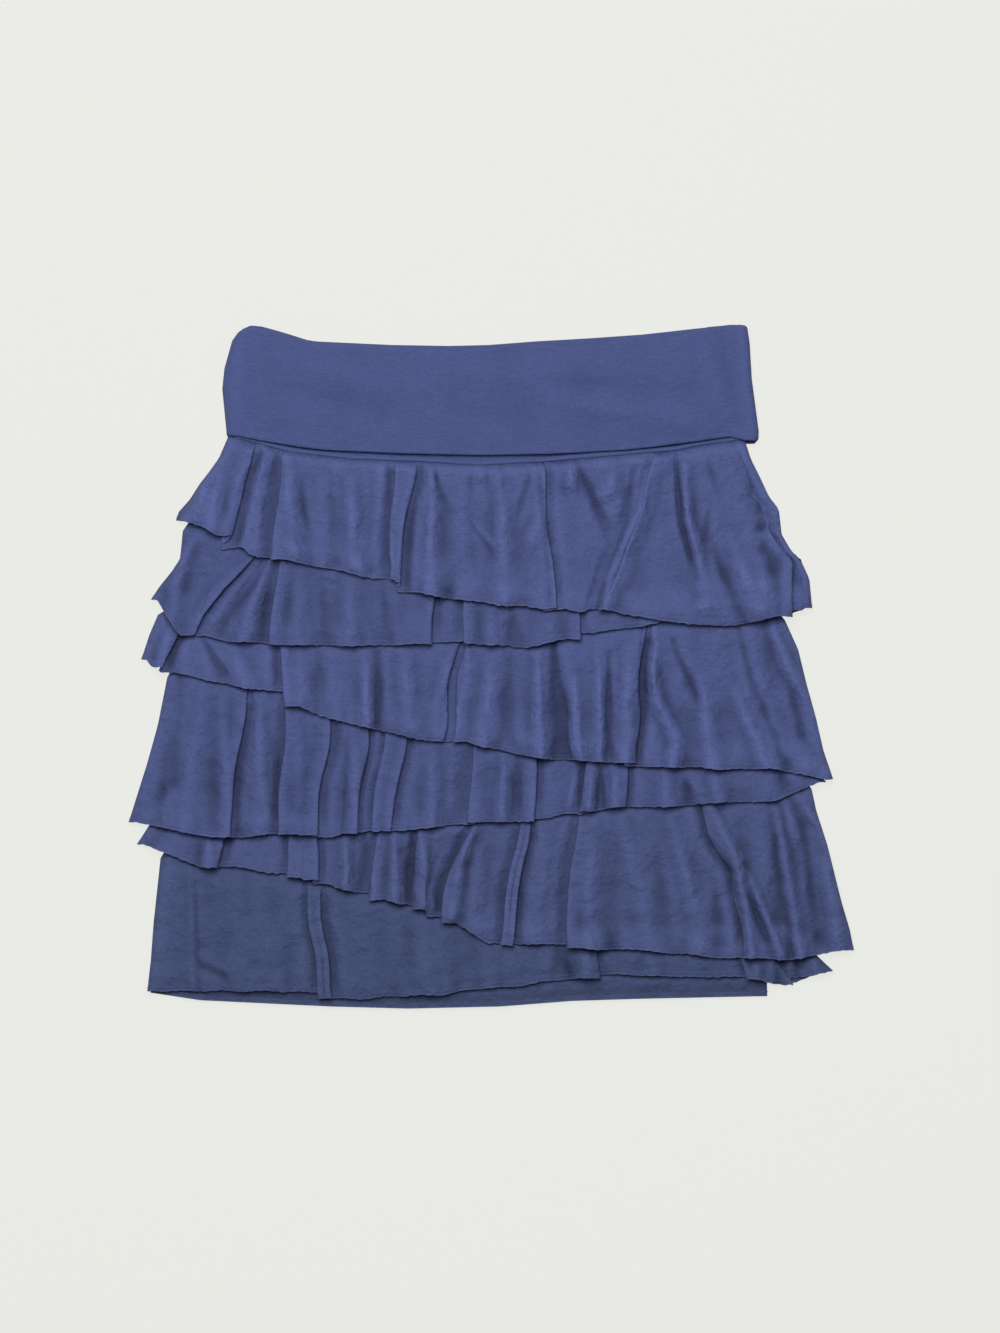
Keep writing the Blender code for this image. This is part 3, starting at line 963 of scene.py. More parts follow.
@dataclass(frozen=True)
class Ruffle:
    """One tier: a closed ring of jersey, gathered and pleated at its seam."""

    name: str
    number: int
    seam: tuple
    left: tuple               # the left side edge, from the seam to the hem
    right: tuple              # the right side edge
    folds: tuple
    creases: tuple
    cut: tuple                # width all round and length of the cloth, in metres
    dye_and_falloff: tuple              # its share of the common dye: partly the cloth's own tone, partly painted shade where the light falls off towards the lower tiers
    opening: float = 18.0     # distance in which the layers of its pleats come apart
    turn_start: float = 14.0  # distance at which the pleats' edges start to fold over
    turn_length: float = 16.0
    rising: float = 24.0      # distance in which its soft folds reach their height
    body_rows: int = 36
    last_gap: float = 1.25    # length of the last of these rows, as a share of the hem's
    fullness: float = 2.5     # height at which the cloth stands off what it lies on
    flutter: float = 0.7      # how far the hem lifts
    flutter_reach: float = 20.0
    settle: float = 0.5       # share of its fullness that is gone at the hem
    settle_reach: float = 14.0
    wavy_from: float = 0.6    # share of its length from which its hem is wavy
    lifted_by: float = 1.4    # how soon its pleats' edges rise, for its length
    bead: tuple = (0.25, 0.5)         # height and width of the ridge that stitches pull up
    calm_side: tuple = (1.5, 5.0)     # plain cloth at a side edge, and where it gets uneven
    wave_side: float = 6.0    # distance from a side edge where its hem is wavy in full
    side_rounds: tuple = (7.0, 4.0)   # how wide a side edge is round, at the front and back
    left_middle: float = 0.75         # how far up the left side edge lies between the two
    back_free: tuple = (18.0, 10.0)   # where its back is free of the seam, and how soon
    back_clear: tuple = (2.0, 12.0)   # the same, for the seam of the tier under it
    back_stand: tuple = (0.8, 1.7)    # how far its free back stands up, and at the most

    def hem_line(self) -> tuple:
        """The hem's outline, from the left side edge to the right one."""
        inner = [(fold.hem, fold.over) for fold in self.folds]
        return (self.left[-1], *inner, self.right[-1])

    def side_line(self, route: tuple, inset: float, front: bool) -> Line:
        """Lay out a line of cloth beside a side edge.

        Args:
            route: The side edge, from the seam to the hem.
            inset: How far the line is to the right of it.
            front: Whether the line is on the front.

        Returns:
            The line.
        """
        points = np.array(route, float)
        share = (points[0, 1] - points[:, 1]) / (points[0, 1] - points[-1, 1])
        places = points[:, 0] + inset
        return Line(places[0], places[-1], points[-1, 1], front, side=tuple(zip(share, places)))

    def back_lines(self) -> list:
        """Lay out the lines of cloth across the back, from right to left.

        Returns:
            The lines.
        """
        found = []
        outline = self.hem_line()
        for share in np.linspace(*BACK_SHARES):
            top = self.right[0][0] + (self.left[0][0] - self.right[0][0]) * share
            hem = self.right[-1][0] + (self.left[-1][0] - self.right[-1][0]) * share
            found.append(Line(top, hem, float(along(outline, hem)), front=False))
        return found

    def lines(self) -> list:
        """Lay out the lines of cloth all round, from the left side edge over the front.

        Returns:
            The lines, in order.
        """
        hems = [x for x, _ in self.hem_line()]
        found = [self.side_line(self.left, inset, True) for inset in (0.0, *SIDE_INSETS[::-1])]
        for before, fold, after in zip(hems, self.folds, hems[2:]):
            if isinstance(fold, Edge):
                found += PLEAT.lines(fold, fold.hem - before, after - fold.hem)
            else:
                found.append(Line(fold.top, fold.hem, fold.over, level=fold.level))
        found += [self.side_line(self.right, -inset, True) for inset in (*SIDE_INSETS, 0.0)]
        found += [self.side_line(self.right, -inset, False) for inset in SIDE_INSETS[::-1]]
        found += self.back_lines()
        found += [self.side_line(self.left, inset, False) for inset in SIDE_INSETS]
        return found

    def trace(self, line: Line) -> np.ndarray:
        """Follow one line of cloth from the seam to the hem.

        Args:
            line: The line.

        Returns:
            Its X, its Y, its distance from the seam, its level in layers, its lift, its share
            of the fullness, and whether it is on the front, at each row.
        """
        seam_y = float(along(self.seam, line.top))
        length = seam_y - line.hem_y
        body = np.linspace(0.0, length - self.last_gap * HEM_ROWS[0], self.body_rows)
        depth = np.concatenate([body, length - np.array(HEM_ROWS)])
        share = depth / length
        turned = smooth((depth - (line.start or self.turn_start)) / self.turn_length)
        if line.side:
            x = along(line.side, share)
        else:
            x = line.top + (line.hem - line.top) * share
            x = x + line.bend * 4 * share * (1 - share)
            if line.via:
                x = along(tuple((y, x) for x, y in line.via[::-1]), seam_y - depth)
            x = x + line.spread * (1 - turned) + line.tuck * turned
        level = np.full(depth.shape, line.level)
        if line.start:
            level = FLAT_LEVEL + (level - FLAT_LEVEL) * turned
        lift = np.full(depth.shape, line.lift)
        front = np.full(depth.shape, float(line.front))
        return np.array([x, seam_y - depth, depth, level, lift,
                         1 + (line.full - 1) * turned, front])

    def weave(self) -> np.ndarray:
        """Fill in the columns between the lines of cloth.

        Returns:
            What trace gives: for each of its values, columns by rows.
        """
        lines = self.lines()
        traced = [self.trace(line) for line in lines]
        columns = []
        for index, line in enumerate(lines):
            after = (index + 1) % len(lines)
            here, beside = traced[index], traced[after]
            gap = np.hypot(*(beside[:2] - here[:2])).max()
            climb = abs(beside[3] - here[3]).max() * LAYER
            pitch = FRONT_PITCH if line.front or lines[after].front else BACK_PITCH
            parts = max(1, math.ceil(math.hypot(gap, climb) / pitch))
            for part in range(parts):
                share = part / parts
                eased = share * share * (3 - 2 * share)
                mixed = here * (1 - share) + beside * share
                mixed[3:6] = here[3:6] * (1 - eased) + beside[3:6] * eased
                columns.append(mixed)
        return np.moveaxis(np.array(columns), 1, 0)

    def back_height(self, ruffles: tuple, x: np.ndarray, y: np.ndarray,
                    depth: np.ndarray) -> np.ndarray:
        """Work out the height of the back, which lies on the backs of higher tiers.

        Args:
            ruffles: All tiers, from the highest to the lowest.
            x: The points' X.
            y: The points' Y.
            depth: The points' distances from the seam.

        Returns:
            The height of each point.
        """
        height = np.full(x.shape, REST)
        for upper in ruffles[:self.number - 1]:
            above = (y - along(upper.hem_line(), x)) / BACK_RAMP
            height += BACK_STEP * np.clip(above + 1 + BACK_REACH, 0, 1)
        free = smooth((depth - self.back_free[0]) / self.back_free[1])
        if self.number < len(ruffles):
            below = y - along(ruffles[self.number].seam, x)
            free = free * smooth((below - self.back_clear[0]) / self.back_clear[1])
        ripple = BACK_RIPPLE.at(x, y, self.number)
        height += free * np.clip(self.back_stand[0] + ripple, 0, self.back_stand[1])
        return height + (BACK_SEAM - height) * np.clip(1 - depth / BACK_DROP, 0, 1)

    def soft_height(self, x: np.ndarray, y: np.ndarray, depth: np.ndarray,
                    full: np.ndarray) -> np.ndarray:
        """Work out how far the front stands off what it lies on, in its soft folds.

        Args:
            x: The points' X.
            y: The points' Y.
            depth: The points' distances from the seam.
            full: The points' shares of the fullness.

        Returns:
            The height of each point, which is never below zero.
        """
        length = depth[:, -1:]
        swell = SOFT_SWELL.at(x, y, self.number) + SMALL_SWELL.at(x, y, self.number)
        settled = 1 - self.settle * smooth(1 + (depth - length) / self.settle_reach)
        soft = self.fullness * settled * full + swell
        soft = soft + relief(self.creases, x, y, length - depth)
        return 0.5 * (soft + np.sqrt(soft * soft + 1.0)) * smooth(depth / self.rising)

    def hem_height(self, x: np.ndarray, depth: np.ndarray) -> tuple:
        """Work out how far the hem and its stitches stand up.

        Args:
            x: The points' X.
            depth: The points' distances from the seam.

        Returns:
            How far the hem flutters up, and how far its stitches pull up a ridge.
        """
        length = depth[:, -1:]
        flutter = self.flutter * (0.5 + 0.5 * np.sin(FLUTTER.at(x, depth, self.number)))
        flutter = flutter * smooth(1 + (depth - length) / self.flutter_reach)
        off_stitches = (length - depth - HEM_ROWS[STITCH_ROW]) / self.bead[1]
        return flutter, self.bead[0] * np.exp(-0.5 * off_stitches ** 2)

    def grid(self, ruffles: tuple, ground: Ground) -> np.ndarray:
        """Lay the ring over what is already there.

        Args:
            ruffles: All tiers, from the highest to the lowest.
            ground: What the front lies on.

        Returns:
            The points, columns by rows by three, in millimetres.
        """
        x, y, depth, level, lift, full, front = self.weave()
        left_x, right_x = [self.trace(self.side_line(route, 0.0, True))[0]
                           for route in (self.left, self.right)]
        inside = np.minimum(x - left_x, right_x - x)
        calm = np.clip((inside - self.calm_side[0]) / self.calm_side[1], 0, 1)
        x = x + (blurred(x, EASE, 0, True) - x) * calm
        y = y + (blurred(y, EASE, 0, True) - y) * calm
        level = blurred(level, EASE, 0, True)
        lift = blurred(lift, LIFT_EASE, 0, True)

        down = depth / depth[:, -1:]
        wave = HEM_WAVE.at(x, y, self.number) + HEM_RIPPLE.at(x, y, self.number)
        wavy = smooth((down - self.wavy_from) / (1 - self.wavy_from))
        y = y + wave * wavy * np.clip(inside / self.wave_side, 0, 1)
        opened = smooth(depth / self.opening)
        x = x + SWAY.at(y, x, self.number) * opened * calm

        soft = self.soft_height(x, y, depth, full)
        flutter, bead = self.hem_height(x, depth)
        over = ground.under(x, y) + CLEAR + opened * level * LAYER + soft
        over = over + lift * smooth(down * self.lifted_by) + flutter + bead
        under = self.back_height(ruffles, x, y, depth)

        on_front = front > 0.5
        middle = 0.5 * (over + under)
        left_height = middle[0] * self.left_middle + under[0] * (1 - self.left_middle)
        right_column = np.argmin(np.abs(x[:, -1] - right_x[-1]))
        side = np.where(x - left_x < right_x - x, left_height, middle[right_column])
        edge = np.clip(1 - inside / np.where(on_front, *self.side_rounds), 0, 1)
        z = side + (np.where(on_front, over, under) - side) * np.sqrt(1 - edge * edge)
        z = z + (blurred(z, EASE, 0, True) - z) * calm
        return np.stack([x, y, np.maximum(z, REST)], axis=-1)

    def build(self, ruffles: tuple, ground: Ground, cloth: bpy.types.Material,
              thread: bpy.types.Material) -> bpy.types.Object:
        """Make the ring and its stitches and lay it on the ground.

        Args:
            ruffles: All tiers, from the highest to the lowest.
            ground: What the front lies on; the ruffle is added to it.
            cloth: The jersey.
            thread: The thread of its hem.

        Returns:
            The ring.
        """
        points = self.grid(ruffles, ground)
        ground.lay(points)
        rows = points.shape[1]
        piece = cloth_piece(self.name, points, hem_rim(points, (0.6, 1.0)), True, cloth)
        first = rows - len(HEM_ROWS)
        straight = HEM_SEAM.lines(points, True, first + STITCH_ROW)
        crossing = OVERLOCK.lines(points, True, first + EDGE_ROW)
        hem = HEM_SEAM.sew(f"{self.name}_hem_stitches", straight, thread)
        lock = OVERLOCK.sew(f"{self.name}_overlock", crossing, thread)
        for item in (piece, hem, lock):
            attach(item, BODY)
        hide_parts(f"tier_{self.number}_front", f"tier_{self.number}_back")
        LOG.info("%s: %d columns, %d rows, up to %.1f mm", self.name, len(points), rows,
                 points[..., 2].max())
        return piece


R, L = Faces.RIGHT, Faces.LEFT

RUFFLES = (
    Ruffle(
        name="ruffle_1", number=1, dye_and_falloff=(0.96, 0.965, 0.97), cut=(1.05, 0.098),
        opening=7.0, turn_start=0.0, turn_length=8.0, rising=7.0,
        seam=((-188.5, 166), (-172, 162.5), (-158, 158.5), (-144, 155), (-101, 149.8),
              (-51, 148), (-10, 145.4), (39, 147.8), (79, 151.5), (133, 156), (151, 160),
              (182.5, 164)),
        left=((-188, 166), (-195, 150), (-202, 140), (-209, 131), (-216, 120), (-224, 111),
              (-226, 105)),
        right=((182, 164), (187, 149), (194, 135), (200, 122), (207, 113), (209, 95),
               (216, 83), (223, 76), (229, 63), (231, 42)),
        folds=(
            Edge(R, -167.5, -185.5, 94.5, 85, 8, 0, 3.5, 4.0, 2.2),
            Crest(-158, -170.5, 78.5, 1.2),
            Edge(L, -149.5, -158, 76.5, 78, 7, 0, 3.0, 3.5, 1.0),
            Crest(-112, -115.5, 70, 1.2),
            Edge(L, -70, -73, 62, 62.5, 3, 0, 2.6, 3.0, 1.0),
            Edge(R, -53, -65, 60.5, 53.5, 3, -1, 2.6, 3.5, 1.6),
            Crest(-38.5, -42, 50.5, 1.3),
            Crest(7, 4.5, 44, 1.0),
            Edge(R, 38.5, 48.5, 42, 40.5, 10, -1),
            Crest(71.5, 64.5, 39, 0.6),
            Edge(L, 118, 77.5, 39.5, 40.5, 8, 4, 2.5, 2.5, 0.6),
            Crest(133.5, 143.5, 29.5, 0.7),
            Crest(149.5, 176, 29.5, 1.4),
            Edge(R, 173, 216.5, 36, 40.5, 4.5, start=62,
                 via=((171, 164), (178, 149), (185, 135), (191, 122), (198, 113), (201, 95),
                      (209, 83), (217, 76), (217.5, 60), (216.5, 36))),
        ),
        creases=(
            Crease(-0.5, 2, ((-136, 135), (-134, 113), (-131, 99), (-126, 91))),
            Crease(1.5, 6, ((-144, 145), (-143, 106), (-140, 83))),
            Crease(1.8, 5, ((-42, 131), (-43, 48))),
            Crease(-0.5, 2, ((-41, 150), (-39, 138), (-36, 124), (-28, 108))),
            Crease(-0.35, 1.6, ((-16, 106), (-8, 95), (2, 82), (7, 72))),
            Crease(0.4, 1.6, ((-12, 106), (-5, 96), (5, 83), (10, 74))),
            Crease(-0.6, 2.2, ((31, 148), (28, 136), (21, 114), (17, 100))),
            Crease(0.9, 3, ((36, 109), (26, 83))),
            Crease(2.0, 4, ((57, 148), (58, 120))),
            Crease(-1.5, 4, ((62, 148), (68, 134), (76, 114), (85, 98), (88, 84), (80, 66),
                             (75, 40))),
            Crease(-3.0, 2.2, ((132.5, 156), (134, 140), (135, 126), (137, 104), (143, 82),
                               (149, 64))),
            Crease(2.6, 4, ((139, 143), (141, 106), (147, 84), (152, 59), (155, 45))),
            Crease(-0.5, 3, ((154, 153), (162, 127), (167, 117))),
            Crease(-0.6, 3, ((157, 120), (153, 77))),
            Crease(-0.8, 3.5, ((158, 92), (164, 73), (175, 46), (181, 30))),
            Crease(1.4, 6, ((172, 92), (180, 70), (194, 34))),
            Crease(1.2, 6, ((192, 76), (203, 34))),
            Crease(-0.6, 1.8, ((178, 156), (184, 142), (187, 127), (185, 112), (180, 96))),
            Crease(-0.6, 2, ((185, 146), (188, 132), (194, 113), (203, 106))),
            Crease(-0.5, 1.4, ((-39, 153), (-38, 122))),
            Crease(-0.5, 1.4, ((-15, 150), (-14, 120))),
            Crease(-0.5, 1.4, ((-3, 150), (-2, 124))),
            Crease(-0.5, 1.4, ((9, 150), (9, 118))),
            Crease(1.5, 5, ((-101, 135), (-97, 73))),
            Crease(-0.5, 4, ((-116, 140), (-111, 73))),
            Crease(-0.5, 4, ((-85, 140), (-84, 70))),
            Crease(1.5, 5, ((-201, 142), (-212, 107))),
            Crease(2.0, 6, ((-195, 135), (-201, 99))),
            Crease(1.5, 5, ((7, 135), (10, 48))),
            Crease(-0.3, 4, ((-15, 106), (-12, 51))),
            Crease(1.6, 6, ((90, 142), (82, 113))),
            Crease(-2.4, 2.5, ((-153, 154), (-157, 134), (-160, 118), (-161, 80))),
            Crease(-2.2, 2.5, ((-163, 154), (-174, 136), (-180, 116), (-183, 92))),
            Crease(-1.5, 2.5, ((-74, 148), (-73, 120), (-75, 64))),
            Crease(-2.0, 2.5, ((-49, 148), (-57, 118), (-62, 62))),
            Crease(-1.4, 2.0, ((33, 150), (37, 120), (41, 92), (43, 44))),
            Crease(-1.8, 3.4, ((103, 142), (101, 128), (98, 113), (91, 92), (81, 70), (75, 40))),
            Crease(1.8, 3.2, ((114, 140), (111, 128), (107, 111), (96, 87), (86, 64), (80, 41))),
        ),
    ),
    Ruffle(
        name="ruffle_2", number=2, dye_and_falloff=(0.86, 0.865, 0.87), cut=(1.10, 0.052),
        seam=((-203.5, 122.5), (-158, 98.5), (-65, 78), (48.5, 62), (120, 60), (197, 74)),
        left=((-204, 122), (-221, 97), (-223, 77), (-229, 68), (-238, 57), (-244, 48)),
        right=((195.5, 74), (206, 63), (213, 54), (222, 44)),
        folds=(
            Edge(R, -152, -212, 22.5, 21.5, 4.5, 0, 2.4,
                 via=((-140, 108), (-152, 98), (-161, 88), (-171, 77), (-191, 55.4),
                      (-205, 36), (-212, 20))),
            Crest(-160, -184, 17.5, 0.7),
            Edge(L, -151, -159, 16, 16.5, 7, 0, 3.2, 4.0, 1.4),
            Crest(-101, -105, 14.5, 1.0),
            Edge(R, -37.5, -41.5, 16, 17.5, 8, 0, 2.6, 3.0, 0.4),
            Edge(L, -19.5, -19, 16.5, 17.5, 6, 0, 2.2, 2.5, 0.4),
            Crest(21, 21, 13, 1.6),
            Edge(R, 66.5, 65, 19.5, 24, 10, 0, 1.2),
            Crest(115, 115, 30, 0.3),
        ),
        creases=(
            Crease(2.0, 5, ((-209, 99), (-221, 77), (-227, 48), (-231, 27))),
            
            Crease(-2.2, 3, ((-150, 96), (-160, 80), (-172, 60), (-184, 44), (-196, 26))),
            
            Crease(1.6, 5, ((-164, 60), (-172, 40), (-177, 19))),
            Crease(0.9, 6, ((-137, 66), (-136, 14))),
            Crease(-0.5, 4, ((-121, 63), (-118, 14))),
            Crease(1.2, 6, ((-101, 59), (-101, 16))),
            Crease(-0.7, 4, ((-77, 59), (-74, 17))),
            Crease(0.8, 6, ((-54, 48), (-55, 16))),
            Crease(1.4, 6, ((0, 40), (1, 14))),
            Crease(-1.4, 5, ((15, 40), (18, 14))),
            Crease(1.2, 7, ((41, 40), (43, 18))),
        ),
    ),
    Ruffle(
        name="ruffle_3", number=3, dye_and_falloff=(0.95, 0.955, 0.96), cut=(1.15, 0.085),
        seam=((-222, 47), (-159, 36), (28.5, 31), (122, 45), (195.5, 51)),
        left=((-223, 47), (-234, 40), (-239, 37), (-245, 23), (-251, 5)),
        right=((195, 51), (211, 34), (221, 12), (227, -13), (234, -38), (239, -60), (246, -81)),
        folds=(
            Edge(R, -213, -234.5, -0.5, -4.5, 2.5),
            Crest(-189, -198.5, -11, 0.8),
            Edge(L, -152.5, -148, -29, -18, 8.5, 0, 2.4),
            Crest(-115.5, -115.5, -37.5, 1.5),
            Crest(-81, -81.5, -46, 0.8),
            Edge(R, -18.5, -33.5, -53.5, -54, 6, 0, 2.4, 3.0, 0.1,
                 via=((-18.5, 33), (-22.5, 13.7), (-28, -10), (-32, -31), (-33.5, -56))),
            Edge(L, -14, -27.5, -54.5, -54, 6, 0, 3.4, 3.0, 0.1,
                 via=((-14, 32), (-19, 13.7), (-24, -16.6), (-27, -31), (-27.7, -60))),
            Crest(35.5, 33.5, -65.5, 1.8),
            Crest(46.5, 51.5, -67, 0.6),
            Crest(58.5, 64.5, -67.5, 1.6),
            Edge(R, 115, 106, -69, -71.5, 8.5, -3, 2.6, 1.5, 1.6),
            Crest(128, 132, -72.5, 1.3),
            Crest(176, 201, -73.5, 1.0),
        ),
        creases=(
            Crease(1.6, 4, ((-229, 28), (-238, -1))),
            Crease(-1.2, 3.4, ((-81, 12), (-80, -17), (-83, -49))),
            Crease(1.8, 4, ((-90, 9), (-87, -48))),
            Crease(-1.2, 5, ((-123, 9), (-121, -34))),
            Crease(1.2, 6, ((-137, 9), (-134, -30))),
            Crease(1.4, 6, ((-62, 9), (-59, -45))),
            Crease(-3.0, 4, ((45, 17), (47, -9), (50, -27), (51, -58), (55, -67))),
            Crease(2.0, 4, ((34, 9), (36, -65))),
            Crease(2.0, 3.5, ((60, -9), (62, -67))),
            Crease(1.5, 3.5, ((77, 12), (79, -68))),
            Crease(-1.5, 2.5, ((85, 12), (84, -68))),
            Crease(1.5, 5, ((98, 12), (96, -68))),
            Crease(2.2, 3.5, ((117, 28), (118, 16), (116, -2), (119, -24), (133, -53),
                              (131, -73))),
            Crease(1.3, 4.5, ((151, -9), (159, -74))),
            Crease(1.3, 4.5, ((175, -17), (200, -75))),
            Crease(-1.1, 3, ((131, 20), (134, 9), (149, -24), (156, -40))),
            Crease(-1.2, 3.2, ((178, 30), (180, 19), (187, -9), (205, -53), (212, -72))),
            Crease(2.0, 4, ((200, 34), (211, 5), (223, -17), (233, -35))),
            Crease(-1.2, 4, ((216, -17), (227, -60))),
            Crease(1.2, 5, ((0, 5), (-5, -56))),
            Crease(-1.2, 5, ((13, 5), (11, -58))),
            Crease(-1.4, 3, ((-206, 19), (-193, -4))),
            Crease(1.2, 5, ((-184, 12), (-175, -13))),
            Crease(-4.0, 3.5, ((-20, 24), (-25, -12), (-31, -30), (-32, -60))),
            Crease(-1.6, 2.5, ((109, 28), (109, -10), (103, -70))),
            Crease(-1.4, 3, ((-155, 12), (-152, -30))),
        ),
    ),
    Ruffle(
        name="ruffle_4", number=4, dye_and_falloff=(0.87, 0.88, 0.88), cut=(1.15, 0.080),
        seam=((-219, 12), (-65, -29.5), (107.5, -50), (198.5, -42)),
        left=((-219, 12), (-232, -7), (-239, -42), (-247, -71), (-255, -96), (-260, -112)),
        right=((198, -42), (216, -60), (241, -83)),
        folds=(
            Edge(R, -169, -186, -122.5, -123, 7, -3, 2.2),
            Edge(L, -146.5, -153, -120, -119.5, 7, 0, 2.6),
            Edge(R, -111, -124, -121, -122.5, 6, -1, 2.6, 3.0, 0.8),
            Edge(R, -85.5, -95, -119.5, -119, 5, 0, 2.4, 3.0, 0.8),
            Edge(L, -75, -86, -118, -118, 4.5),
            Edge(R, -57, -71, -117.5, -117.5, 4.5),
            Crest(-42, -43.5, -116, 0.9),
            Edge(L, -11, -17, -111.5, -113, 7),
            Edge(R, 35.5, 31.5, -111, -109.5, 7, 0, 2.4),
            Edge(L, 73, 62.5, -103, -105.5, 4.5),
            Edge(R, 103.5, 96, -101, -101.5, 6),
            Crest(131.5, 131.5, -99.5, 1.2),
            Crest(165, 205, -96, 1.0),
        ),
        creases=(
            Crease(0.9, 5, ((-205, -17), (-211, -53), (-216, -89), (-219, -122))),
            Crease(0.8, 4, ((-193, -24), (-189, -89), (-190, -122))),
            Crease(-0.3, 4, ((-199, -38), (-201, -119))),
            Crease(-0.3, 4, ((-232, -38), (-238, -117))),
            Crease(1.4, 5.5, ((-98, -40), (-98, -120))),
            Crease(1.2, 5.5, ((-42, -53), (-42, -117))),
            Crease(-1.8, 4, ((-19, -60), (-23, -112))),
            Crease(1.5, 4, ((10, -63), (8, -110))),
            Crease(-1.2, 4, ((20, -63), (18, -110))),
            Crease(1.2, 2.5, ((62, -74), (57, -99))),
            Crease(1.5, 2.5, ((72, -78), (71, -102))),
            Crease(-1.8, 2.5, ((79, -74), (79, -102))),
            Crease(1.8, 5, ((90, -71), (88, -102))),
            Crease(1.5, 5, ((125, -74), (127, -100))),
            Crease(1.5, 5, ((159, -73), (165, -102))),
            Crease(-1.2, 3, ((139, -81), (145, -100))),
            Crease(-1.2, 4, ((205, -74), (218, -96))),
            Crease(1.6, 6, ((-165, -24), (-165, -119))),
            Crease(1.4, 5, ((-137, -38), (-139, -121))),
        ),
    ),
    Ruffle(
        name="ruffle_5", number=5, dye_and_falloff=(0.87, 0.88, 0.85), cut=(1.15, 0.091),
        seam=((-223.5, -95), (-115.5, -104.5), (50, -91.5), (200, -65.5)),
        left=((-223.5, -95), (-245, -114), (-254, -128)),
        right=((200, -65.5), (219, -78), (230, -86), (234, -104), (242, -129), (247, -149),
               (252, -169), (258, -189), (261, -204)),
        folds=(
            Edge(R, -186, -195.5, -144, -143.5, 5, 0, 2.6, 3.5, 0.8),
            Edge(L, -146, -146, -151, -148.5, 6, 0, 2.2),
            Edge(R, -125, -122, -152.5, -156, 4.5, 0, 2.6, 3.0, 1.0),
            Crest(-112, -108.5, -159, 1.0),
            Edge(L, -81, -87, -167, -162, 6, 0, 2.4, 2.0, 0.8),
            Edge(L, -53.5, -56.5, -173.5, -170.5, 4.5),
            Edge(L, -4.5, -36.5, -183.5, -179.5, 7, -6, 3.0, 2.5, 0.8),
            Edge(L, 22.5, 6, -199.5, -198.5, 2, 0, 2.4, 2.5, 0.6),
            Edge(R, 31.5, 15.5, -199.5, -198.5, 2, 0, 2.4, 1.5, 0.8),
            Edge(L, 65, 53.5, -201.5, -199.5, 7, -2, 3.0, 3.5, 0.6),
            Crest(94.5, 100.5, -203, 1.4),
            Edge(L, 147, 180.5, -209.5, -209, 5, 0, 2.0,
                 via=((147, -75), (151, -104), (155, -121), (162, -133), (168, -141),
                      (172, -148), (172.5, -158), (176, -172), (180, -187), (180.5, -212))),
            Crest(171, 215.5, -209.5, 1.5),
        ),
        creases=(
            Crease(2.0, 4, ((-202, -123), (-202, -143))),
            Crease(1.3, 5.5, ((-135, -123), (-135, -155))),
            Crease(1.8, 4, ((-104, -123), (-103, -159))),
            Crease(-2.0, 3, ((-90, -123), (-90, -161))),
            Crease(2.0, 4, ((-69, -119), (-68, -169))),
            Crease(-2.0, 1.5, ((-57, -121), (-56, -171))),
            Crease(2.0, 4, ((-49, -117), (-46, -171))),
            Crease(1.8, 3, ((-10, -113), (-21, -139), (-27, -179))),
            Crease(1.5, 7, ((72, -107), (69, -204))),
            Crease(0.8, 5, ((93, -102), (100, -139), (106, -170))),
            Crease(1.2, 5, ((128, -107), (136, -132), (145, -171), (150, -206))),
            Crease(-2.8, 2.5, ((151, -104), (155, -121), (162, -133), (167, -140), (172, -146),
                               (173, -157), (177, -171), (180, -186), (181, -204))),
            Crease(1.8, 3.5, ((155, -90), (159, -104), (167, -121), (177, -137), (178, -152),
                              (183, -172), (187, -206))),
            Crease(-1.0, 5, ((162, -153), (165, -197))),
            Crease(-2.2, 2.5, ((185, -164), (193, -182), (200, -198), (203, -207))),
            Crease(1.3, 3, ((184, -148), (190, -161), (198, -182), (207, -206))),
            Crease(2.8, 3, ((205, -102), (210, -132), (214, -161), (218, -182), (221, -208))),
            Crease(-1.4, 2.5, ((207, -122), (211, -146), (215, -175), (218, -206))),
            Crease(1.8, 3, ((212, -98), (221, -133))),
            Crease(1.2, 2.5, ((215, -86), (237, -116), (245, -138), (251, -170))),
            Crease(-0.7, 3, ((225, -112), (227, -132), (231, -168), (236, -206))),
            Crease(1.8, 4, ((239, -139), (246, -171), (250, -204))),
            Crease(0.6, 6, ((108, -139), (113, -204))),
            Crease(-0.3, 5, ((87, -120), (90, -204))),
            Crease(-0.5, 5, ((118, -130), (125, -168), (131, -207))),
            Crease(1.0, 6, ((-8, -132), (-12, -189))),
            Crease(1.0, 7, ((39, -125), (33, -197))),
        ),
    ),
    Ruffle(
        name="ruffle_6", number=6, dye_and_falloff=(0.73, 0.78, 0.71), cut=(1.00, 0.065),
        seam=((-229.5, -126.5), (-115.5, -144.5), (57, -189.5), (201, -192)),
        left=((-229.5, -127), (-237, -138), (-242, -185), (-244, -212), (-246.5, -233.5)),
        right=((200.5, -192), (223, -197), (246, -219)),
        folds=(
            Crest(-180.5, -177, -232.5, 0.5),
            Edge(L, -135, -123.5, -237.5, -234, 2.5, 0, 2.0),
            Edge(R, -124, -113.5, -237.5, -238.5, 2.5, 0, 2.6, 3.0, 0.8),
            Crest(-65, -59.5, -237, 0.8),
            Crest(7, 7, -230.5, 1.0),
            Edge(R, 71.5, 79.5, -223, -221, 8),
            Crest(122, 129, -222.5, 0.6),
            Edge(L, 172.5, 183, -224, -223, 3, 0, 2.2),
            Crest(183, 200, -227.5, 1.2),
            Edge(R, 190, 217.5, -228.5, -223.5, 2.5, 0, 1.2, 1.2, 0.4),
        ),
        creases=(
            Crease(-0.6, 0.9, ((-213, -134), (-211, -197), (-210, -232))),
            Crease(0.4, 1.2, ((-216, -134), (-214, -197), (-213, -232))),
            Crease(-0.6, 2.5, ((-212, -208), (-208, -214), (-191, -222))),
            Crease(-2.6, 4, ((51, -171), (51, -222))),
            Crease(2.0, 5, ((69, -171), (69, -222))),
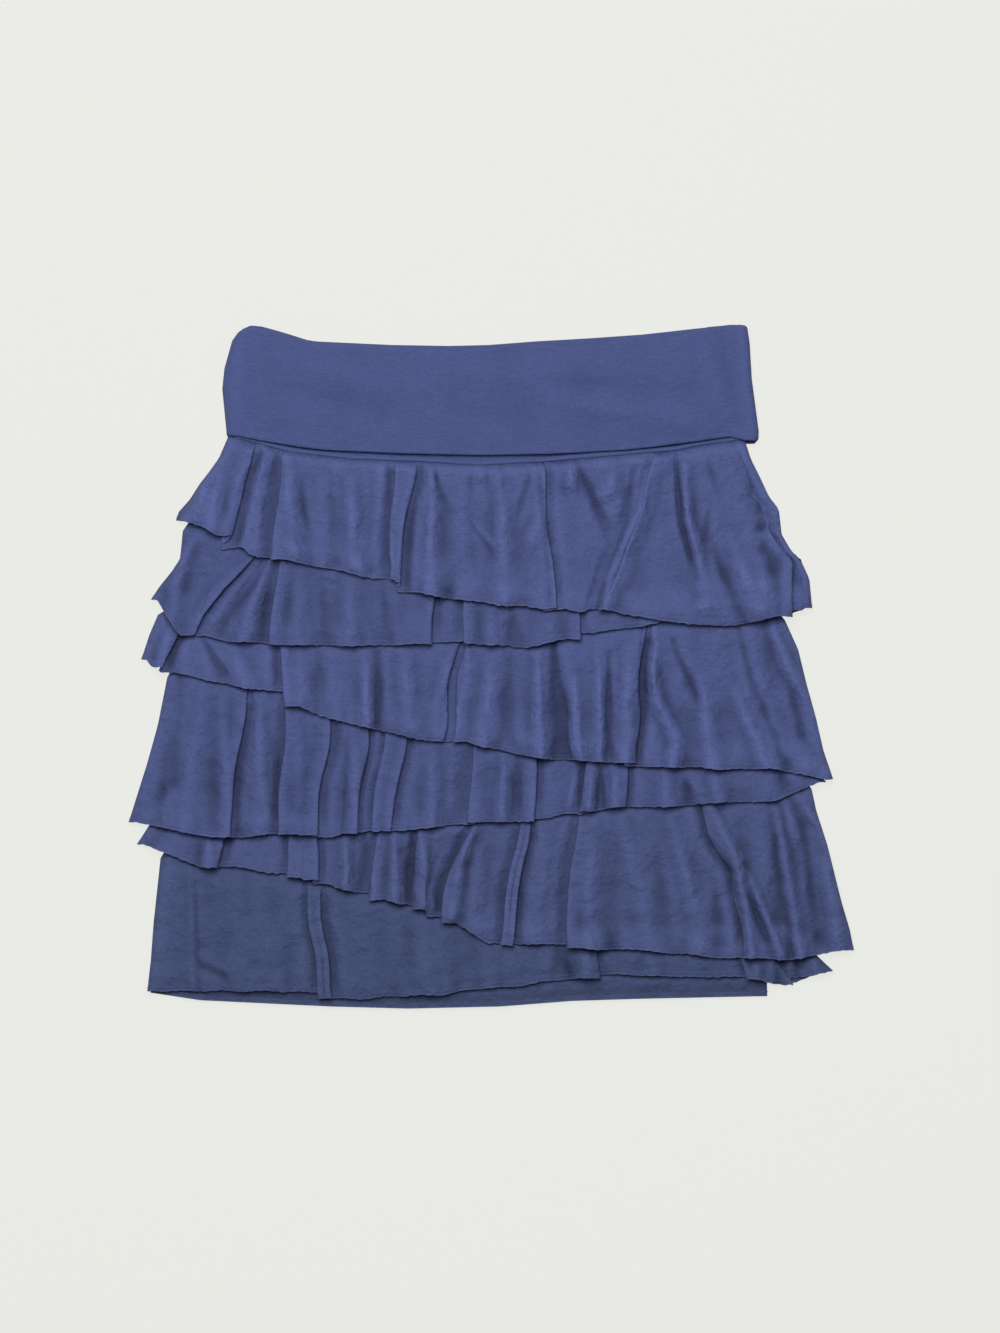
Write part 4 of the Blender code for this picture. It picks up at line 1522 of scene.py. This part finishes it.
            Crease(1.0, 12, ((-166, -168), (-165, -229))),
            Crease(0.8, 14, ((-44, -189), (-44, -234))),
            Crease(-0.4, 7, ((-80, -179), (-77, -238))),
            Crease(-2.5, 3, ((206, -205), (210, -227))),
            Crease(-1.6, 2, ((219, -207), (220, -225))),
            Crease(1.6, 4, ((190, -207), (193, -234))),
            Crease(1.6, 4, ((231, -207), (234, -220))),
            Crease(1.0, 6, ((115, -207), (116, -222))),
        ),
    ),
)


@dataclass(frozen=True)
class BasePanel:
    """One side of the plain tube that the ruffles are sewn to."""

    name: str
    node: str
    height: float
    front: bool
    cut: tuple = (0.43, 0.392)        # width and length of the cloth, in metres
    hem: tuple = ((-245, -234.5), (-209, -240), (-115, -244.5), (-59.5, -246), (7, -244.5),
                  (58.5, -240.5), (105.5, -239), (199, -237))
    left: tuple = ((-234.5, -244.5), (-117.5, -223.5), (-96, -217), (12, -212), (48, -208.5),
                   (120, -196), (155, -184.5), (166, -181.5))
    right: tuple = ((-237, 199), (-67, 193), (48, 187), (155, 178))
    columns: int = 150
    rows: int = 56
    rows_end: float = 0.98    # share of its length where these rows end
    length: float = 390.0     # its length, for the rows of its hem
    level_reach: float = 30.0         # distance from the hem in which it is level
    droop: float = 2.4        # how far the hem sinks past the lowest ruffle's back
    droop_reach: float = 16.0

    def grid(self) -> np.ndarray:
        """Lay the panel out.

        Returns:
            The points, columns by rows by three, in millimetres.
        """
        share = np.linspace(0, 1, self.columns)[:, None]
        top_x = self.left[-1][1] + (self.right[-1][1] - self.left[-1][1]) * share
        hem_x = self.hem[0][0] + (self.hem[-1][0] - self.hem[0][0]) * share
        top_y = along(RUFFLES[0].seam, top_x)
        hem_y = along(self.hem, hem_x)
        body = np.linspace(0.0, self.rows_end, self.rows)
        down = np.sort(np.concatenate([body, 1 - np.array(HEM_ROWS) / self.length]))
        y = top_y + (hem_y - top_y) * down
        left, right = along(self.left, y), along(self.right, y)
        x = left + (right - left) * share
        sag = self.droop * smooth((hem_y + self.droop_reach - y) / self.droop_reach)
        swell = BASE_SWELL.at(x, y, int(self.front))
        z = self.height - sag + swell * smooth((y - hem_y) / self.level_reach)
        return np.stack([x, y, z], axis=-1)

    def build(self, ground: Ground, cloth: bpy.types.Material,
              thread: bpy.types.Material) -> bpy.types.Object:
        """Make the panel and the stitches of its hem.

        Args:
            ground: What the next cloth lies on; a front panel is added to it.
            cloth: The jersey.
            thread: The thread of its hem.

        Returns:
            The panel.
        """
        points = self.grid()
        if self.front:
            ground.lay(points)
        else:
            points = points[::-1]
        rim = hem_rim(points, (0.3, 0.8, 1.0))
        piece = cloth_piece(self.name, points, rim, False, cloth)
        row = points.shape[1] - len(HEM_ROWS) + STITCH_ROW
        lines = HEM_SEAM.lines(points, False, row)
        hem = HEM_SEAM.sew(f"{self.name}_stitches", lines, thread)
        for item in (piece, hem):
            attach(item, BODY)
        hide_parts(self.node)
        LOG.info("%s: %d columns, %d rows", self.name, *points.shape[:2])
        return piece


@dataclass(frozen=True)
class Waistband:
    """A doubled tube that stands up from the seam, folds over outwards and turns under."""

    cut: tuple = (0.76, 0.185)        # width all round and length of the cloth, in metres
    front_top: tuple = ((-189.5, 236), (-186, 242), (-180, 244.6), (-172, 243.8),
                        (-151.5, 238.5), (-128.5, 232), (-65, 229), (-22, 226), (17.5, 232),
                        (64.5, 229.5), (107.5, 236), (140, 237), (165, 243.5), (182, 245))
    back_top: tuple = ((-183, 241), (-128.5, 233.5), (-72, 231), (-30, 230.3), (0, 231),
                       (35, 233.6), (75, 235.8), (115, 238.5), (182, 245.5))
    front_low: tuple = ((-189.5, 166), (-182.5, 165.5), (-164.5, 162), (-137, 157.5),
                        (-119, 155.5), (-65, 153), (-7.6, 151.8), (43, 152.6), (97, 155.5),
                        (120, 158), (136.5, 160.2), (151, 162), (172.5, 165), (183, 162.5))
    back_low: tuple = ((-189.5, 162.5), (0, 158.5), (192, 160.5))
    left: tuple = ((155, -189.5), (169, -189.5), (199.5, -192.5), (214, -191), (232, -186),
                   (241, -183))
    right: tuple = ((155, 192), (169, 192.5), (206.5, 187.5), (232, 186), (245.5, 184))
    middle: float = (BASE_BACK + BASE_FRONT) / 2
    inner: float = BASE_FRONT - (BASE_BACK + BASE_FRONT) / 2
    outer: float = 5.05
    inset: float = 4.5        # how far the inner layer stays inside at the sides
    under_inset: float = 0.2  # share of that for the layer that is turned under
    side_round: float = 6.0
    puff: float = 1.6         # how far the folded layer swells
    puff_side: float = 30.0   # distance from a side edge in which it swells
    puff_top: float = 25.0    # distance from the fold in which it swells
    lift: float = 0.7         # how far its lower edge stands up
    lift_side: float = 14.0
    lift_reach: float = 30.0  # distance from its lower edge in which it stands up
    crease_side: float = 12.0         # distance from a side edge in which creases start
    turn: float = 0.95        # radius of its lower edge
    under: float = 14.0       # how far it turns back under itself
    above_seam: float = 0.45  # how far over the highest ruffle's seam it is sewn
    sewn: float = 1.2         # how far its sewn edge reaches down past that
    hook_front: float = 2.3   # how far the sewn edge rises over the highest ruffle
    hook_back: float = 3.0
    hook_reach: float = 3.5   # distance from the seam in which it rises
    columns: int = 190
    gathered_columns: float = 0.25    # share of its columns' places that the sides draw in
    foot: tuple = (5.0, 6.0)  # height of its close rows at the seam, and where others start
    rows: tuple = (6, 9, 9, 44, 7, 5)     # foot, inner layer, fold, outer layer, turn, under
    creases: tuple = (
        Crease(0.7, 8, ((45, 189), (150, 174))),
        Crease(-0.6, 7, ((35, 205), (140, 196))),
        Crease(0.6, 9, ((-150, 220), (-60, 196))),
        Crease(-0.6, 8, ((-160, 200), (-80, 182))),
        Crease(0.4, 7, ((150, 235), (168, 180))),
        Crease(-0.3, 6, ((166, 232), (178, 176))),
        Crease(0.7, 6, ((-178, 230), (-184, 180))),
        Crease(0.5, 10, ((-40, 214), (40, 208))),
        Crease(-0.5, 9, ((-30, 184), (30, 176))),
    )

    def section(self, seam: float, top: float, low: float) -> tuple:
        """Draw a line of cloth: up the inner layer, over the fold, down and under.

        Args:
            seam: The Y of the seam.
            top: The Y of the fold.
            low: The Y of the lower edge.

        Returns:
            Its Y and its distance from the middle of the waistband at each row.
        """
        foot, inner, fold, outer, turned, under = self.rows
        bow = (self.outer - self.inner) / 2
        centre = (self.outer + self.inner) / 2
        arc = np.radians(np.linspace(-75, 75, fold))
        turn = np.radians(np.linspace(15, 165, turned))
        end = low + self.turn
        y = np.concatenate([
            seam - self.sewn + np.linspace(0, self.foot[0], foot),
            np.linspace(seam + self.foot[1], top - bow, inner),
            top - bow + bow * np.cos(arc),
            np.linspace(top - bow, end, outer),
            end - self.turn * np.sin(turn),
            np.linspace(end, end + self.under, under)])
        offset = np.concatenate([
            np.full(foot + inner, self.inner),
            centre + bow * np.sin(arc),
            np.full(outer, self.outer),
            self.outer - self.turn + self.turn * np.cos(turn),
            np.full(under, self.outer - 2 * self.turn)])
        return y, offset

    def puffed(self, x: np.ndarray, y: np.ndarray, inside: np.ndarray, top: float,
               low: float) -> np.ndarray:
        """Work out how far the front's outer layer stands up.

        Args:
            x: The points' X.
            y: The points' Y.
            inside: Their distances from the nearer side edge.
            top: The Y of the fold.
            low: The Y of the lower edge.

        Returns:
            The height at each point.
        """
        drop = smooth((low + self.lift_reach - y) / self.lift_reach)
        swell = self.puff * smooth(inside / self.puff_side) * smooth((top - y) / self.puff_top)
        swell = swell * (1 - drop)
        soft = relief(self.creases, x, y) + BAND_SWELL.at(x, y)
        return (swell + self.lift * drop * smooth(inside / self.lift_side)
                + soft * smooth(inside / self.crease_side))

    def column(self, share: float, front: bool) -> np.ndarray:
        """Lay one line of cloth.

        Args:
            share: Its place from the left side edge to the right one.
            front: Whether it is on the front.

        Returns:
            Its points, rows by three, in millimetres.
        """
        first, last = self.left[0][1], self.right[0][1]
        flat_x = first + (last - first) * share
        top = float(along(self.front_top if front else self.back_top, flat_x))
        low = float(along(self.front_low if front else self.back_low, flat_x))
        seam_x = flat_x + self.inset * (1 - 2 * share)
        seam = float(along(RUFFLES[0].seam, seam_x)) + self.above_seam
        y, offset = self.section(seam, top, low)
        inward = np.clip((self.outer - offset) / (self.outer - self.inner), 0, 1) * self.inset
        inward[-sum(self.rows[4:]):] = self.inset * self.under_inset
        left, right = along(self.left, y) + inward, along(self.right, y) - inward
        x = left + (right - left) * share
        inside = np.minimum(x - left, right - x)
        edge = np.clip(1 - inside / self.side_round, 0, 1)
        if front:
            free = smooth((offset - self.inner) / (self.outer - self.inner))
            offset = offset + free * self.puffed(x, y, inside, top, low)
        hook = np.zeros(y.shape)
        sewn = slice(0, sum(self.rows[:2]))
        hook[sewn] = smooth((seam + self.hook_reach - y[sewn]) / self.hook_reach)
        hook = hook * (self.hook_front if front else self.hook_back)
        off_middle = offset * np.sqrt(1 - edge * edge) + hook
        z = self.middle + (off_middle if front else -off_middle)
        return np.stack([x, y, z], axis=-1)

    def grid(self) -> np.ndarray:
        """Lay the ring out.

        Returns:
            The points, columns by rows by three, in millimetres.
        """
        angles = np.linspace(0, math.pi, self.columns) * 0.999
        drawn_in = self.gathered_columns * (0.5 - 0.5 * np.cos(angles))
        shares = drawn_in + (1 - self.gathered_columns) * np.linspace(0, 1, self.columns)
        front = [self.column(share, True) for share in shares]
        back = [self.column(share, False) for share in shares[::-1][1:-1]]
        points = np.array(front + back)
        points[[0, self.columns - 1], :, 2] = self.middle
        return points

    def build(self, cloth: bpy.types.Material) -> bpy.types.Object:
        """Make the waistband.

        Args:
            cloth: The jersey.

        Returns:
            The ring.
        """
        points = self.grid()
        rim = np.zeros(points.shape[:2])
        piece = cloth_piece("waistband_ring", points, rim, True, cloth)
        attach(piece, BODY)
        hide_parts("waistband")
        LOG.info("waistband: %d columns, %d rows, up to %.1f mm", *points.shape[:2],
                 points[..., 2].max())
        return piece


@dataclass(frozen=True)
class Studio:
    """A pale floor, soft lights from above and a camera that looks straight down."""

    view_width: float = 0.72      # width of what the camera sees
    view_shape: float = 1.333     # its length, as a share of its width
    beside: float = 0.0068        # how far the camera stands to the right of the skirt
    distance: float = 3.2
    sensor: float = 36.0
    lights: tuple = (
        ("key_softbox", (-0.25, 0.9, 2.6), 1.3, 70.0),
        ("left_softbox", (-1.7, 0.2, 1.6), 1.0, 2.0),
        ("right_softbox", (1.7, 0.2, 1.6), 1.0, 2.0),
    )
    sky: tuple = (0.96, 0.98, 1.0)
    sky_strength: float = 0.10
    floor_half: float = 4.0
    floor_gap: float = 0.0002     # how far the floor is below the skirt

    def lay_floor(self) -> None:
        """Lay the floor."""
        mesh = bpy.data.meshes.new("floor")
        shape = bmesh.new()
        bmesh.ops.create_grid(shape, x_segments=1, y_segments=1, size=self.floor_half)
        shape.to_mesh(mesh)
        shape.free()
        mesh.materials.append(PalePaper().material())
        floor = bpy.data.objects.new("floor", mesh)
        floor.location.z = -self.floor_gap
        bpy.context.scene.collection.objects.link(floor)

    def hang_lights(self) -> None:
        """Hang the lights, which look at the origin, and set the surroundings."""
        for name, place, size, power in self.lights:
            data = bpy.data.lights.new(name, "AREA")
            data.size = size
            data.energy = power
            lamp = bpy.data.objects.new(name, data)
            lamp.location = place
            lamp.rotation_euler = (-Vector(place)).to_track_quat("-Z", "Y").to_euler()
            bpy.context.scene.collection.objects.link(lamp)
        world = bpy.data.worlds.new("studio")
        world.use_nodes = True
        backdrop = world.node_tree.nodes["Background"]
        backdrop.inputs["Color"].default_value = (*self.sky, 1.0)
        backdrop.inputs["Strength"].default_value = self.sky_strength
        bpy.context.scene.world = world

    def place_camera(self) -> None:
        """Place the camera over the skirt and set how its picture is shown."""
        bpy.context.scene.view_settings.view_transform = "Standard"
        data = bpy.data.cameras.new("camera")
        data.sensor_width = self.sensor
        data.lens = self.sensor * self.distance / (self.view_width * self.view_shape)
        data.clip_end = 20.0
        camera = bpy.data.objects.new("camera", data)
        camera.location = (self.beside, 0.0, self.distance)
        bpy.context.scene.collection.objects.link(camera)
        bpy.context.scene.camera = camera

    def build(self) -> None:
        """Set up the floor, the lights, the surroundings and the camera."""
        self.lay_floor()
        self.hang_lights()
        self.place_camera()


def main() -> None:
    """Build the skirt from the base out and report each piece."""
    # The waistband gets weaker painted shade in its folds and a weaker painted highlight on its
    # ridges.
    band_cloth = Jersey("waistband_cloth", BAND_DYE, BAND_RIM, depth=0.25, ridge_highlight=0.1,
                        crumple=0.002).material()
    thread = Thread("hem_thread", THREAD_DYE).material()
    ground = Ground()
    base_cloth = Jersey("base_cloth", BASE_DYE_AND_FALLOFF, BASE_RIM).material()
    for panel in (BasePanel("base_panel_back", "base_back", BASE_BACK, False),
                  BasePanel("base_panel_front", "base_front", BASE_FRONT, True)):
        panel.build(ground, base_cloth, thread)
    for ruffle in RUFFLES[::-1]:
        # Each tier's dye is scaled by its share: partly its own tone, partly painted shade of
        # the light falling off towards the lower tiers.
        dye = tuple(share * value for share, value in zip(ruffle.dye_and_falloff, TIER_DYE))
        cloth = Jersey(f"{ruffle.name}_cloth", dye, TIER_RIM).material()
        ruffle.build(RUFFLES, ground, cloth, thread)
    Waistband().build(band_cloth)
    Studio().build()


if __name__ == "__main__":
    main()
